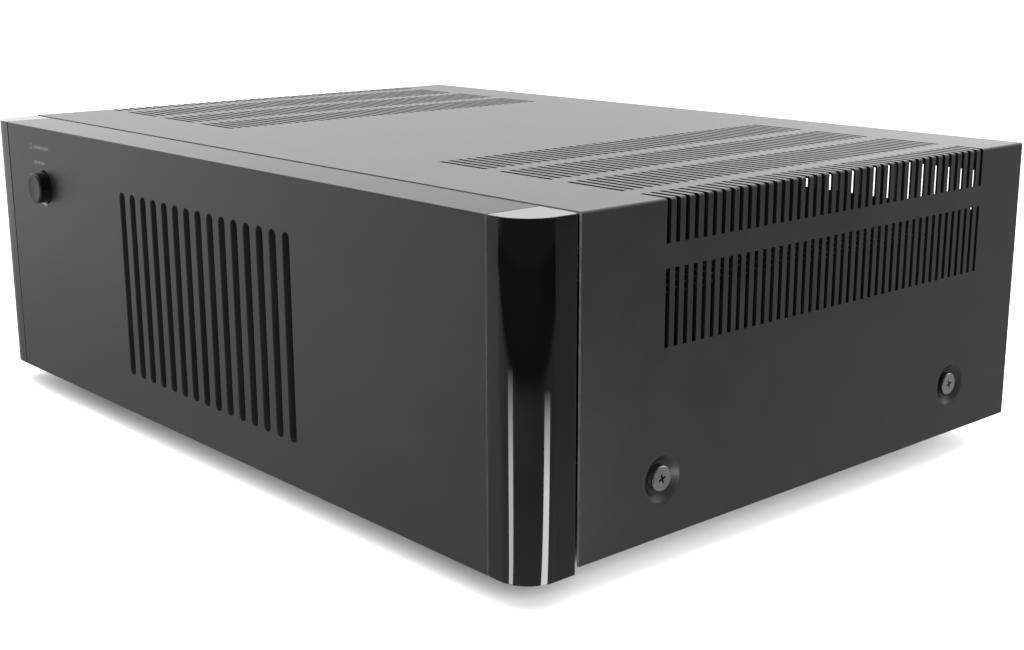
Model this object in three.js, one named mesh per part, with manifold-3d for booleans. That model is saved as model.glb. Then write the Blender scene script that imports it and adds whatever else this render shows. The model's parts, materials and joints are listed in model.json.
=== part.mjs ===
// A 17-inch-wide stereo power amplifier: folded steel case, aluminium front, two finned heat sinks,
// toroidal supply, speaker terminals with turning caps and a push power button.
// Frame: millimetres, +Z up, the front faces -Y, +X is the right-hand side seen from the front.
// The origin is on the ground, under the centre of the whole amplifier.
import * as THREE from "three";
import { mergeGeometries, mergeVertices } from "three/addons/utils/BufferGeometryUtils.js";
import Module from "manifold-3d";

const wasm = await Module();
wasm.setup();

// ---------------------------------------------------------------- driving dimensions
const WIDTH = 431; // over the end caps
const DEPTH = 343; // power button to the ends of the speaker terminals
const PANEL_HEIGHT = 132.6; // three rack units
const PANEL_LIFT = 11.4; // ground to the lower edge of the front panel
const GAP = 0.3; // clearance between neighbouring pieces

const BUTTON_PROUD = 5.5;
const FRONT_Y = -DEPTH / 2 + BUTTON_PROUD; // face of the front panel
const FRONT_DEPTH = 25.4; // front panel and end caps, front to back
const PANEL_WEB = 5;
const PANEL_FLANGE = 3;
const PANEL_TOP = PANEL_LIFT + PANEL_HEIGHT;

const CAP_WIDTH = 20;
const CAP_RADIUS = 14;
const CAP_REBATE = 1.2; // square shadow groove down the outer rear edge of each end cap

const SLOT_COUNT = 15;
const SLOT_PITCH = 10;
const SLOT_WIDTH = 5;
const SLOT_BOTTOM = PANEL_LIFT + 19.7;
const SLOT_TOP = PANEL_LIFT + 109.2;

const BUTTON_X = -156;
const BUTTON_Z = PANEL_LIFT + 102;
const BUTTON_RADIUS = 8.4;
const BUTTON_HOLE = 9;
const BUTTON_STEM = 3;
const BUTTON_BACK = FRONT_Y + 4.2;
const STEM_BACK = FRONT_Y + 8.5;

const SHEET = 1; // cover steel
const COVER_BEND = 1.5;
const COVER_FRONT = FRONT_Y + 26;
const COVER_REAR = FRONT_Y + 309;
const COVER_BOTTOM = PANEL_LIFT + 2.6;
const COVER_TOP = PANEL_TOP + 0.3;
const LIP_BOTTOM = COVER_TOP - 10;

const VENT_COUNT = 42;
const VENT_PITCH = 5;
const VENT_WIDTH = 2.2;
const VENT_LENGTH = 30.6;
const VENT_WEB = 8.7;
const VENT_FIRST_Y = FRONT_Y + 70;
const VENT_INNER_X = 83.6;
const VENT_COLUMNS = 3; // whole columns on the top; the fourth one wraps over the edge
const WRAP_BOTTOM = PANEL_LIFT + 116.2;
const SIDE_VENT_TOP = PANEL_LIFT + 107;
const SIDE_VENT_BOTTOM = PANEL_LIFT + 77;

const SIDE_SCREW_Z = PANEL_LIFT + 26;
const SIDE_SCREW_YS = [FRONT_Y + 69.5, FRONT_Y + 261.5];
const DIMPLE_RADIUS = 9.5;
const DIMPLE_FLOOR = 6.4;
const DIMPLE_DEPTH = 2.9;
const SIDE_SCREW_HEAD = 5.1;
const SIDE_SCREW_SHANK = 2;
const SIDE_SCREW_HEIGHT = 2.5;

const BASE_SHEET = 1;
const BASE_Z = COVER_BOTTOM + GAP;
const BASE_TOP = BASE_Z + BASE_SHEET;
const BASE_HALF = WIDTH / 2 - 4.3;
const FLANGE_TOP = 52;
const FLOOR_VENT_COUNT = 9;
const FLOOR_VENT_PITCH = 12;
const FLOOR_VENT_WIDTH = 4;
const FLOOR_VENT_XS = [145, 198];
const SUBPANEL_Y = FRONT_Y + FRONT_DEPTH + GAP;
const INNER_TOP = COVER_TOP - SHEET - GAP; // highest a piece may reach under the cover

const REAR_Y = COVER_REAR - SHEET - 0.4; // outer face of the rear panel
const REAR_SHEET = 1.2;
const REAR_INNER = REAR_Y - REAR_SHEET;
const OUTSIDE_Y = REAR_Y + GAP; // where pieces mounted on the rear panel begin

const REAR_VENT_COUNT = 16;
const REAR_VENT_PITCH = 7;
const REAR_VENT_WIDTH = 3.2;
const REAR_VENT_FIRST_X = 88;
const REAR_VENT_BOTTOM = PANEL_LIFT + 99;
const REAR_VENT_TOP = PANEL_LIFT + 118;
const REAR_SCREW_X = 150;
const REAR_SCREW_Z = COVER_TOP - 5.3;

const FOOT_X = 155;
const FOOT_YS = [FRONT_Y + 46, FRONT_Y + 264];
const FOOT_RADIUS = 22;
const PAD_RADIUS = 19;
const PAD_HEIGHT = 3.5;

const SINK_INNER_X = 140;
const SINK_PLATE = 8;
const SINK_OUTER_X = 203;
const SINK_BOTTOM = BASE_TOP + 1;
const SINK_TOP = 105;
const FIN_COUNT = 20;
const FIN_PITCH = 10;
const FIN_THICKNESS = 2.4;
const SINK_FRONT_Y = FRONT_Y + 73;

const TRANSISTOR_YS = [-42, 46];
const BOARD = 1.6;
const AMP_BOARD_X = 128;

const TRANSFORMER_Y = FRONT_Y + 104;
const TRANSFORMER_RADIUS = 70;
const TRANSFORMER_BORE = 22;
const TRANSFORMER_HEIGHT = 60;
const TRANSFORMER_ROUND = 13;
const TRANSFORMER_PAD = 3;
const BOLT_RADIUS = 4;

const SUPPLY_BOARD_Z = 22;
const CAPACITOR_RADIUS = 17.5;
const CAPACITOR_HEIGHT = 54;
const CAPACITOR_XS = [-63, -21, 21, 63];
const CAPACITOR_Y = 52;

const POST_SPACING = 19;
const POST_Z = 68;
const POST_PAIRS = { right: -58, left: 28 }; // centres of the two channels' pairs
const POST_STUD = 3;
const POST_TRAVEL_STEP = 0.4; // clearance between flange, ring and cap
const RING_LENGTH = 3;
const POST_FLANGE_Y = OUTSIDE_Y + 3.9;

const JACK_X = -160;
const JACK_ZS = { left: 84, right: 60 };
const SELECTOR_X = -125;
const SELECTOR_Z = 72;
const SELECTOR_TRAVEL = 4;
const INLET_X = 150;
const INLET_Z = 52;

// ---------------------------------------------------------------- materials
const material = (color, roughness, metalness) =>
  new THREE.MeshStandardMaterial({ color, roughness, metalness });
const satinBlack = material(0x242425, 0.45, 0.4);
const glossBlack = material(0x0b0b0c, 0.08, 0.2);
const coverBlack = material(0x2b2b2c, 0.5, 0.3);
const zincSteel = material(0x9a9c9e, 0.4, 0.9);
const screwSteel = material(0x8d8d8c, 0.35, 1);
const blackAnodised = material(0x151516, 0.5, 0.6);
const blackPlastic = material(0x111112, 0.45, 0);
const rubber = material(0x1a1a1a, 0.9, 0);
const boardGreen = material(0x12301f, 0.6, 0);
const tapeYellow = material(0x2a2318, 0.6, 0);
const sleeveBlack = material(0x161a22, 0.35, 0);
const terminalRed = material(0x9c1216, 0.25, 0);
const nickel = material(0xb9b4a6, 0.25, 1);

// ---------------------------------------------------------------- geometry helpers
const span = (low, high) => [(low + high) / 2, high - low];

function box(x0, x1, y0, y1, z0, z1) {
  const [x, w] = span(x0, x1);
  const [y, d] = span(y0, y1);
  const [z, h] = span(z0, z1);
  return new THREE.BoxGeometry(w, d, h).translate(x, y, z);
}

// A cylinder along "x", "y" or "z", from low to high on that axis, centred on (a, b) of the other two.
function rod(axis, radius, low, high, a, b, sides = 24) {
  const [middle, length] = span(low, high);
  const cylinder = new THREE.CylinderGeometry(radius, radius, length, sides);
  if (axis === "x") return cylinder.rotateZ(-Math.PI / 2).translate(middle, a, b);
  if (axis === "y") return cylinder.translate(a, middle, b);
  return cylinder.rotateX(Math.PI / 2).translate(a, b, middle);
}

// A turned shape: profile points are [radius, distance along the axis], counted along +axis.
function turned(axis, profile, a, b, sides = 24) {
  const points = profile.map(([radius, along]) => new THREE.Vector2(radius, along));
  const lathe = new THREE.LatheGeometry(points, sides);
  if (axis === "x") return lathe.rotateZ(-Math.PI / 2).translate(0, a, b);
  if (axis === "y") return lathe.translate(a, 0, b);
  return lathe.rotateX(Math.PI / 2).translate(a, b, 0);
}

// An outline drawn in (y, z) and run along x, in (x, z) along y, or in (x, y) along z.
function prism(axis, outline, low, high, curveSegments = 6) {
  const depth = high - low;
  const run = new THREE.ExtrudeGeometry(outline, { depth, bevelEnabled: false, curveSegments });
  if (axis === "z") return run.translate(0, 0, low);
  if (axis === "y") return run.rotateX(Math.PI / 2).translate(0, high, 0);
  const turn = new THREE.Matrix4().makeBasis(
    new THREE.Vector3(0, 1, 0),
    new THREE.Vector3(0, 0, 1),
    new THREE.Vector3(1, 0, 0),
  );
  return run.applyMatrix4(turn).translate(low, 0, 0);
}

function outlineOf(points) {
  return new THREE.Shape(points.map(([u, v]) => new THREE.Vector2(u, v)));
}

function obround(x, z0, z1, width) {
  const r = width / 2;
  const shape = new THREE.Shape();
  shape.moveTo(x + r, z0 + r);
  shape.lineTo(x + r, z1 - r);
  shape.absarc(x, z1 - r, r, 0, Math.PI, false);
  shape.lineTo(x - r, z0 + r);
  shape.absarc(x, z0 + r, r, Math.PI, 2 * Math.PI, false);
  return shape;
}

function solidOf(geometry) {
  const bare = geometry.clone();
  bare.deleteAttribute("normal");
  bare.deleteAttribute("uv");
  const merged = mergeVertices(bare, 1e-3);
  return new wasm.Manifold(
    new wasm.Mesh({
      numProp: 3,
      vertProperties: merged.attributes.position.array,
      triVerts: new Uint32Array(merged.index.array),
    }),
  );
}

function geometryOf(solid) {
  const mesh = solid.getMesh();
  const geometry = new THREE.BufferGeometry();
  geometry.setAttribute("position", new THREE.BufferAttribute(mesh.vertProperties, 3));
  geometry.setIndex(new THREE.BufferAttribute(mesh.triVerts, 1));
  const flat = geometry.toNonIndexed();
  flat.computeVertexNormals();
  return flat;
}

// Tools in one list must not touch each other, because they become one solid before the cut.
function cut(geometry, ...toolLists) {
  let solid = solidOf(geometry);
  for (const tools of toolLists) {
    const bare = tools.map((tool) => (tool.index ? tool.toNonIndexed() : tool));
    solid = solid.subtract(solidOf(mergeGeometries(bare)));
  }
  return geometryOf(solid);
}

function join(...geometries) {
  return geometryOf(geometries.map(solidOf).reduce((whole, piece) => whole.add(piece)));
}

const amplifier = new THREE.Group();
function add(name, geometry, finish) {
  const mesh = new THREE.Mesh(geometry, finish.clone());
  mesh.name = name;
  amplifier.add(mesh);
}

const SIDES = { left: -1, right: 1 };
const CORNERS = Object.entries(SIDES).flatMap(([side, sign]) =>
  ["front", "rear"].map((end, index) => ({ name: `${end}_${side}`, sign, index })),
);

// ---------------------------------------------------------------- front
function frontPanel() {
  const half = WIDTH / 2 - CAP_WIDTH - GAP;
  const back = FRONT_Y + FRONT_DEPTH;
  const web = FRONT_Y + PANEL_WEB;
  const channel = outlineOf([
    [FRONT_Y, PANEL_LIFT],
    [back, PANEL_LIFT],
    [back, PANEL_LIFT + PANEL_FLANGE],
    [web, PANEL_LIFT + PANEL_FLANGE],
    [web, PANEL_TOP - PANEL_FLANGE],
    [back, PANEL_TOP - PANEL_FLANGE],
    [back, PANEL_TOP],
    [FRONT_Y, PANEL_TOP],
  ]);
  const first = (-(SLOT_COUNT - 1) / 2) * SLOT_PITCH;
  const slots = Array.from({ length: SLOT_COUNT }, (_, i) =>
    prism("y", obround(first + i * SLOT_PITCH, SLOT_BOTTOM, SLOT_TOP, SLOT_WIDTH), FRONT_Y - 1, web + 1, 2),
  );
  const buttonHole = rod("y", BUTTON_HOLE, FRONT_Y - 1, web + 1, BUTTON_X, BUTTON_Z, 28);
  return cut(prism("x", channel, -half, half), slots, [buttonHole]);
}

function endCap(sign) {
  const outer = WIDTH / 2;
  const inner = outer - CAP_WIDTH;
  const back = FRONT_Y + FRONT_DEPTH;
  const step = back - CAP_REBATE;
  const shelf = outer - CAP_REBATE;
  const shape = new THREE.Shape();
  if (sign > 0) {
    shape.moveTo(inner, FRONT_Y);
    shape.lineTo(outer - CAP_RADIUS, FRONT_Y);
    shape.absarc(outer - CAP_RADIUS, FRONT_Y + CAP_RADIUS, CAP_RADIUS, -Math.PI / 2, 0, false);
    shape.lineTo(outer, step);
    shape.lineTo(shelf, step);
    shape.lineTo(shelf, back);
    shape.lineTo(inner, back);
  } else {
    shape.moveTo(-shelf, back);
    shape.lineTo(-shelf, step);
    shape.lineTo(-outer, step);
    shape.lineTo(-outer, FRONT_Y + CAP_RADIUS);
    shape.absarc(-outer + CAP_RADIUS, FRONT_Y + CAP_RADIUS, CAP_RADIUS, Math.PI, 1.5 * Math.PI, false);
    shape.lineTo(-inner, FRONT_Y);
    shape.lineTo(-inner, back);
  }
  return prism("z", shape, PANEL_LIFT, PANEL_TOP, 10);
}

function frontSubpanel() {
  const window = SLOT_PITCH * (SLOT_COUNT / 2) + 2;
  const plate = box(-BASE_HALF, BASE_HALF, SUBPANEL_Y, SUBPANEL_Y + BASE_SHEET, BASE_Z, INNER_TOP);
  const opening = box(-window, window, SUBPANEL_Y - 1, SUBPANEL_Y + 3, SLOT_BOTTOM - 2, SLOT_TOP + 2);
  return cut(plate, [opening]);
}

function powerButton() {
  const profile = [
    [0, -DEPTH / 2 + 0.9],
    [4, -DEPTH / 2 + 0.6],
    [7.2, -DEPTH / 2],
    [BUTTON_RADIUS, -DEPTH / 2 + 1],
    [BUTTON_RADIUS, BUTTON_BACK],
    [BUTTON_STEM, BUTTON_BACK],
    [BUTTON_STEM, STEM_BACK],
    [0, STEM_BACK],
  ];
  return turned("y", profile, BUTTON_X, BUTTON_Z, 28);
}

function powerSwitch() {
  const front = STEM_BACK + 2.8;
  const body = box(BUTTON_X - 10, BUTTON_X + 10, front, SUBPANEL_Y - GAP, BUTTON_Z - 8, BUTTON_Z + 8);
  const bezel = rod("y", 5, front - 0.3, front + 1, BUTTON_X, BUTTON_Z, 16);
  return join(body, bezel);
}

add("front_panel", frontPanel(), satinBlack);
for (const [side, sign] of Object.entries(SIDES)) add(`${side}_end_cap`, endCap(sign), glossBlack);
add("front_subpanel", frontSubpanel(), blackAnodised);
add("power_button", powerButton(), blackPlastic);
add("power_switch", powerSwitch(), blackPlastic);

// ---------------------------------------------------------------- cover
function coverShell() {
  const half = WIDTH / 2;
  const shape = new THREE.Shape();
  const bend = COVER_BEND;
  const inside = COVER_BEND - SHEET;
  shape.moveTo(half, COVER_BOTTOM);
  shape.lineTo(half, COVER_TOP - bend);
  shape.absarc(half - bend, COVER_TOP - bend, bend, 0, Math.PI / 2, false);
  shape.absarc(-half + bend, COVER_TOP - bend, bend, Math.PI / 2, Math.PI, false);
  shape.lineTo(-half, COVER_BOTTOM);
  shape.lineTo(-half + SHEET, COVER_BOTTOM);
  shape.absarc(-half + bend, COVER_TOP - bend, inside, Math.PI, Math.PI / 2, true);
  shape.absarc(half - bend, COVER_TOP - bend, inside, Math.PI / 2, 0, true);
  shape.lineTo(half - SHEET, COVER_BOTTOM);
  return prism("y", shape, COVER_FRONT, COVER_REAR, 1);
}

// A pressed dish around a side screw, as a turned shell on the cover's outer face.
function dimple(sign, y) {
  const face = WIDTH / 2;
  const floor = face - DIMPLE_DEPTH;
  const hole = SIDE_SCREW_SHANK + 0.5;
  const profile = [
    [hole, floor - SHEET],
    [DIMPLE_FLOOR + 0.3, floor - SHEET],
    [DIMPLE_RADIUS + 0.4, face - SHEET],
    [DIMPLE_RADIUS + 0.4, face],
    [DIMPLE_RADIUS, face],
    [DIMPLE_FLOOR, floor],
    [hole, floor],
    [hole, floor - SHEET],
  ];
  const dish = turned("x", profile, y, SIDE_SCREW_Z, 28);
  return sign > 0 ? dish : dish.rotateZ(Math.PI).translate(0, 2 * y, 0);
}

function topCover() {
  const half = WIDTH / 2;
  const lip = box(-half + COVER_BEND, half - COVER_BEND, COVER_REAR - SHEET, COVER_REAR, LIP_BOTTOM, COVER_TOP - 0.4);
  const sideHoles = [];
  const dimples = [];
  for (const sign of Object.values(SIDES)) {
    for (const y of SIDE_SCREW_YS) {
      const [low, high] = sign > 0 ? [half - 5, half + 5] : [-half - 5, -half + 5];
      sideHoles.push(rod("x", DIMPLE_RADIUS, low, high, y, SIDE_SCREW_Z, 28));
      dimples.push(dimple(sign, y));
    }
  }
  const lipHoles = [-REAR_SCREW_X, REAR_SCREW_X].map((x) =>
    rod("y", 2, COVER_REAR - 3, COVER_REAR + 1, x, REAR_SCREW_Z, 12),
  );
  const shell = join(cut(join(coverShell(), lip), sideHoles, lipHoles), ...dimples);

  const vents = [];
  const wrapInner = VENT_INNER_X + VENT_COLUMNS * (VENT_LENGTH + VENT_WEB);
  for (let i = 0; i < VENT_COUNT; i++) {
    const y0 = VENT_FIRST_Y + i * VENT_PITCH - VENT_WIDTH / 2;
    const y1 = y0 + VENT_WIDTH;
    vents.push(box(-half - 1, half + 1, y0, y1, SIDE_VENT_BOTTOM, SIDE_VENT_TOP));
    for (const sign of Object.values(SIDES)) {
      for (let column = 0; column < VENT_COLUMNS; column++) {
        const near = VENT_INNER_X + column * (VENT_LENGTH + VENT_WEB);
        const [x0, x1] = [sign * near, sign * (near + VENT_LENGTH)].sort((a, b) => a - b);
        vents.push(box(x0, x1, y0, y1, COVER_TOP - 2, COVER_TOP + 1));
      }
      const [x0, x1] = [sign * wrapInner, sign * (half + 1)].sort((a, b) => a - b);
      vents.push(box(x0, x1, y0, y1, WRAP_BOTTOM, COVER_TOP + 1));
    }
  }
  return cut(shell, vents);
}

// A cross-recess screw whose head faces along +axis, from the head's top down to the tip.
function crossScrew(axis, top, head, headHeight, shank, tip, a, b) {
  const edge = headHeight * 0.3;
  const profile = [
    [0, tip],
    [shank, tip],
    [shank, top - headHeight],
    [head, top - headHeight],
    [head, top - edge],
    [head - edge, top],
    [0, top],
  ];
  const body = turned(axis, profile, a, b, 16);
  const arm = head * 0.55;
  const slot = head * 0.12;
  const low = top - headHeight * 0.6;
  if (axis === "x") {
    const across = box(low, top + 1, a - arm, a + arm, b - slot, b + slot);
    return cut(body, [across], [box(low, top + 1, a - slot, a + slot, b - arm, b + arm)]);
  }
  const across = box(a - arm, a + arm, low, top + 1, b - slot, b + slot);
  return cut(body, [across], [box(a - slot, a + slot, low, top + 1, b - arm, b + arm)]);
}

add("top_cover", topCover(), coverBlack);
for (const { name, sign, index } of CORNERS) {
  const y = SIDE_SCREW_YS[index];
  const top = WIDTH / 2 - 0.1;
  const screw = crossScrew("x", top, SIDE_SCREW_HEAD, SIDE_SCREW_HEIGHT, SIDE_SCREW_SHANK, top - 10, y, SIDE_SCREW_Z);
  if (sign < 0) screw.rotateZ(Math.PI).translate(0, 2 * y, 0);
  add(`${name}_cover_screw`, screw, screwSteel);
}
for (const [side, sign] of Object.entries(SIDES)) {
  const top = COVER_REAR + GAP + 2;
  const screw = crossScrew("y", top, 3.4, 2, 1.5, top - 12, sign * REAR_SCREW_X, REAR_SCREW_Z);
  add(`${side}_rear_screw`, screw, screwSteel);
}

// ---------------------------------------------------------------- chassis and feet
function chassisBase() {
  const front = SUBPANEL_Y + BASE_SHEET + GAP;
  const back = REAR_INNER - GAP;
  const tray = outlineOf([
    [-BASE_HALF, BASE_Z],
    [BASE_HALF, BASE_Z],
    [BASE_HALF, FLANGE_TOP],
    [BASE_HALF - BASE_SHEET, FLANGE_TOP],
    [BASE_HALF - BASE_SHEET, BASE_TOP],
    [-BASE_HALF + BASE_SHEET, BASE_TOP],
    [-BASE_HALF + BASE_SHEET, FLANGE_TOP],
    [-BASE_HALF, FLANGE_TOP],
  ]);
  const screwHoles = SIDE_SCREW_YS.map((y) =>
    rod("x", SIDE_SCREW_SHANK + 0.4, -BASE_HALF - 1, BASE_HALF + 1, y, SIDE_SCREW_Z, 16),
  );
  const boltHole = rod("z", BOLT_RADIUS + 0.4, BASE_Z - 1, BASE_TOP + 1, 0, TRANSFORMER_Y, 16);
  const vents = [];
  for (const sign of Object.values(SIDES)) {
    const [x0, x1] = FLOOR_VENT_XS.map((x) => sign * x).sort((a, b) => a - b);
    for (let i = 0; i < FLOOR_VENT_COUNT; i++) {
      const y = (i - (FLOOR_VENT_COUNT - 1) / 2) * FLOOR_VENT_PITCH;
      const half = FLOOR_VENT_WIDTH / 2;
      vents.push(box(x0, x1, y - half, y + half, BASE_Z - 1, BASE_TOP + 1));
    }
  }
  return cut(prism("y", tray, front, back), screwHoles, [boltHole, ...vents]);
}

function foot(x, y) {
  const low = PAD_HEIGHT + GAP;
  const high = BASE_Z - GAP;
  const profile = [
    [2.5, low],
    [FOOT_RADIUS - 1, low],
    [FOOT_RADIUS, low + 1],
    [FOOT_RADIUS - 2, high],
    [2.5, high],
    [2.5, low],
  ];
  return turned("z", profile, x, y, 20);
}

function footPad(x, y) {
  const profile = [
    [0, 0],
    [PAD_RADIUS - 0.8, 0],
    [PAD_RADIUS, 0.8],
    [PAD_RADIUS, PAD_HEIGHT],
    [0, PAD_HEIGHT],
  ];
  return turned("z", profile, x, y, 20);
}

add("chassis_base", chassisBase(), zincSteel);
for (const { name, sign, index } of CORNERS) {
  const y = FOOT_YS[index];
  add(`${name}_foot`, foot(sign * FOOT_X, y), blackPlastic);
  add(`${name}_foot_pad`, footPad(sign * FOOT_X, y), rubber);
}

// ---------------------------------------------------------------- heat sinks and amplifier boards
function heatSink(sign) {
  const points = [
    [SINK_INNER_X, SINK_FRONT_Y],
    [SINK_OUTER_X, SINK_FRONT_Y],
  ];
  for (let i = 0; i < FIN_COUNT; i++) {
    const y = SINK_FRONT_Y + i * FIN_PITCH;
    points.push([SINK_OUTER_X, y + FIN_THICKNESS]);
    if (i === FIN_COUNT - 1) break;
    points.push([SINK_INNER_X + SINK_PLATE, y + FIN_THICKNESS]);
    points.push([SINK_INNER_X + SINK_PLATE, y + FIN_PITCH]);
    points.push([SINK_OUTER_X, y + FIN_PITCH]);
  }
  const rear = SINK_FRONT_Y + (FIN_COUNT - 1) * FIN_PITCH + FIN_THICKNESS;
  points.push([SINK_INNER_X, rear]);
  const outline = points.map(([x, y]) => [sign * x, y]);
  return prism("z", outlineOf(outline), SINK_BOTTOM, SINK_TOP);
}

function outputTransistor(sign, y) {
  const x0 = sign > 0 ? SINK_INNER_X - GAP - 5 : -SINK_INNER_X + GAP;
  const body = box(x0, x0 + 5, y - 10, y + 10, 56, 82);
  const tabHole = rod("x", 1.7, x0 - 1, x0 + 6, y, 77, 8);
  const legs = [-5.5, 0, 5.5].map((step) => box(x0 + 2, x0 + 3, y + step - 0.6, y + step + 0.6, 45, 57));
  return join(cut(body, [tabHole]), ...legs);
}

function amplifierBoard(sign) {
  const back = AMP_BOARD_X;
  const mirrored = (x0, x1, ...rest) => (sign > 0 ? box(x0, x1, ...rest) : box(-x1, -x0, ...rest));
  return join(
    mirrored(back, back + BOARD, -90, 98, 20, 100),
    mirrored(back - 16, back + 0.5, 60, 88, 60, 82), // speaker relay
    mirrored(back - 12, back + 0.5, -72, -58, 30, 52), // output inductor
    mirrored(back - 10, back + 0.5, -20, 20, 74, 84), // driver stage
  );
}

for (const [side, sign] of Object.entries(SIDES)) {
  add(`${side}_heat_sink`, heatSink(sign), blackAnodised);
  add(`${side}_amplifier_board`, amplifierBoard(sign), boardGreen);
  TRANSISTOR_YS.forEach((y, i) =>
    add(`${side}_output_transistor_${i + 1}`, outputTransistor(sign, y), blackPlastic),
  );
}

// ---------------------------------------------------------------- power supply
const PAD_TOP = BASE_TOP + GAP + TRANSFORMER_PAD;
const COIL_BOTTOM = PAD_TOP + GAP;
const COIL_TOP = COIL_BOTTOM + TRANSFORMER_HEIGHT;
const CLAMP_TOP = COIL_TOP + GAP + 2;

function roundedRing(inner, outer, low, high, round) {
  const shape = new THREE.Path();
  shape.absarc(outer - round, low + round, round, -Math.PI / 2, 0, false);
  shape.absarc(outer - round, high - round, round, 0, Math.PI / 2, false);
  shape.absarc(inner + round / 2, high - round / 2, round / 2, Math.PI / 2, Math.PI, false);
  shape.absarc(inner + round / 2, low + round / 2, round / 2, Math.PI, 1.5 * Math.PI, false);
  const profile = shape.getPoints(1).map((p) => [p.x, p.y]);
  profile.push(profile[0]);
  return profile;
}

function transformer() {
  const profile = roundedRing(TRANSFORMER_BORE, TRANSFORMER_RADIUS, COIL_BOTTOM, COIL_TOP, TRANSFORMER_ROUND);
  return turned("z", profile, 0, TRANSFORMER_Y, 32);
}

function flatRing(inner, outer, low, high, sides) {
  const profile = [
    [inner, low],
    [outer, low],
    [outer, high],
    [inner, high],
    [inner, low],
  ];
  return turned("z", profile, 0, TRANSFORMER_Y, sides);
}

function transformerBolt() {
  const top = CLAMP_TOP + GAP;
  const head = rod("z", 7.4, top, top + 5.3, 0, TRANSFORMER_Y, 6);
  return join(head, rod("z", BOLT_RADIUS, BASE_Z, top + 1, 0, TRANSFORMER_Y, 16));
}

function supplyBoard() {
  const plate = box(-88, 88, 22, 82, SUPPLY_BOARD_Z, SUPPLY_BOARD_Z + BOARD);
  const posts = [-82, 82].flatMap((x) =>
    [28, 76].map((y) => rod("z", 3, BASE_TOP + GAP, SUPPLY_BOARD_Z + 0.5, x, y, 10)),
  );
  return join(plate, ...posts);
}

function reservoirCapacitor(x) {
  const low = SUPPLY_BOARD_Z + BOARD + GAP;
  const high = low + CAPACITOR_HEIGHT;
  const profile = [
    [0, low],
    [CAPACITOR_RADIUS, low],
    [CAPACITOR_RADIUS, low + 3],
    [CAPACITOR_RADIUS - 0.8, low + 4.5],
    [CAPACITOR_RADIUS, low + 6],
    [CAPACITOR_RADIUS, high - 1],
    [CAPACITOR_RADIUS - 1, high],
    [0, high],
  ];
  return turned("z", profile, x, CAPACITOR_Y, 20);
}

function bridgeRectifier() {
  const body = box(-14, 14, 96, 124, BASE_TOP + GAP, BASE_TOP + 10.5);
  const tabs = [-9, 9].flatMap((x) =>
    [101, 119].map((y) => box(x - 3.2, x + 3.2, y - 0.4, y + 0.4, BASE_TOP + 10, BASE_TOP + 20)),
  );
  return join(body, ...tabs);
}

add("power_transformer", transformer(), tapeYellow);
add("transformer_pad", flatRing(TRANSFORMER_BORE, 62, BASE_TOP + GAP, PAD_TOP, 24), rubber);
add("transformer_clamp_plate", flatRing(BOLT_RADIUS + 0.4, 36, COIL_TOP + GAP, CLAMP_TOP, 20), zincSteel);
add("transformer_bolt", transformerBolt(), screwSteel);
add("power_supply_board", supplyBoard(), boardGreen);
CAPACITOR_XS.forEach((x, i) => add(`reservoir_capacitor_${i + 1}`, reservoirCapacitor(x), sleeveBlack));
add("bridge_rectifier", bridgeRectifier(), blackPlastic);

// ---------------------------------------------------------------- rear panel and its connectors
const POSTS = Object.entries(POST_PAIRS).flatMap(([channel, centre]) => [
  { name: `${channel}_negative`, x: centre - POST_SPACING / 2, finish: blackPlastic },
  { name: `${channel}_positive`, x: centre + POST_SPACING / 2, finish: terminalRed },
]);

function rearPanel() {
  const plate = box(-BASE_HALF, BASE_HALF, REAR_INNER, REAR_Y, BASE_Z, INNER_TOP);
  const through = [REAR_INNER - 1, REAR_Y + 1];
  const vents = [];
  for (const sign of Object.values(SIDES)) {
    for (let i = 0; i < REAR_VENT_COUNT; i++) {
      const x = sign * (REAR_VENT_FIRST_X + i * REAR_VENT_PITCH);
      const r = REAR_VENT_WIDTH / 2;
      vents.push(box(x - r, x + r, ...through, REAR_VENT_BOTTOM, REAR_VENT_TOP));
    }
  }
  const holes = [
    ...[-REAR_SCREW_X, REAR_SCREW_X].map((x) => rod("y", 1.9, ...through, x, REAR_SCREW_Z, 12)),
    ...POSTS.map(({ x }) => rod("y", 5, ...through, x, POST_Z, 16)),
    ...Object.values(JACK_ZS).map((z) => rod("y", 5.4, ...through, JACK_X, z, 16)),
    box(SELECTOR_X - 4.6, SELECTOR_X + 4.6, ...through, SELECTOR_Z - 2.9, SELECTOR_Z + 2.9),
    box(INLET_X - 14.1, INLET_X + 14.1, ...through, INLET_Z - 10.4, INLET_Z + 10.4),
  ];
  return cut(plate, vents, holes);
}

function bindingPost(x) {
  const profile = [
    [0, REAR_INNER - 18],
    [4.6, REAR_INNER - 18],
    [4.6, OUTSIDE_Y],
    [8.5, OUTSIDE_Y],
    [8.5, POST_FLANGE_Y - 0.6],
    [7.9, POST_FLANGE_Y],
    [POST_STUD, POST_FLANGE_Y],
    [POST_STUD, DEPTH / 2 - 5],
    [0, DEPTH / 2 - 5],
  ];
  return turned("y", profile, x, POST_Z, 16);
}

function pressureRing(x) {
  const low = POST_FLANGE_Y + POST_TRAVEL_STEP;
  const high = low + RING_LENGTH;
  const bore = POST_STUD + 0.4;
  const profile = [
    [bore, low],
    [7.3, low],
    [7.3, high],
    [bore, high],
    [bore, low],
  ];
  return turned("y", profile, x, POST_Z, 16);
}

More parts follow.
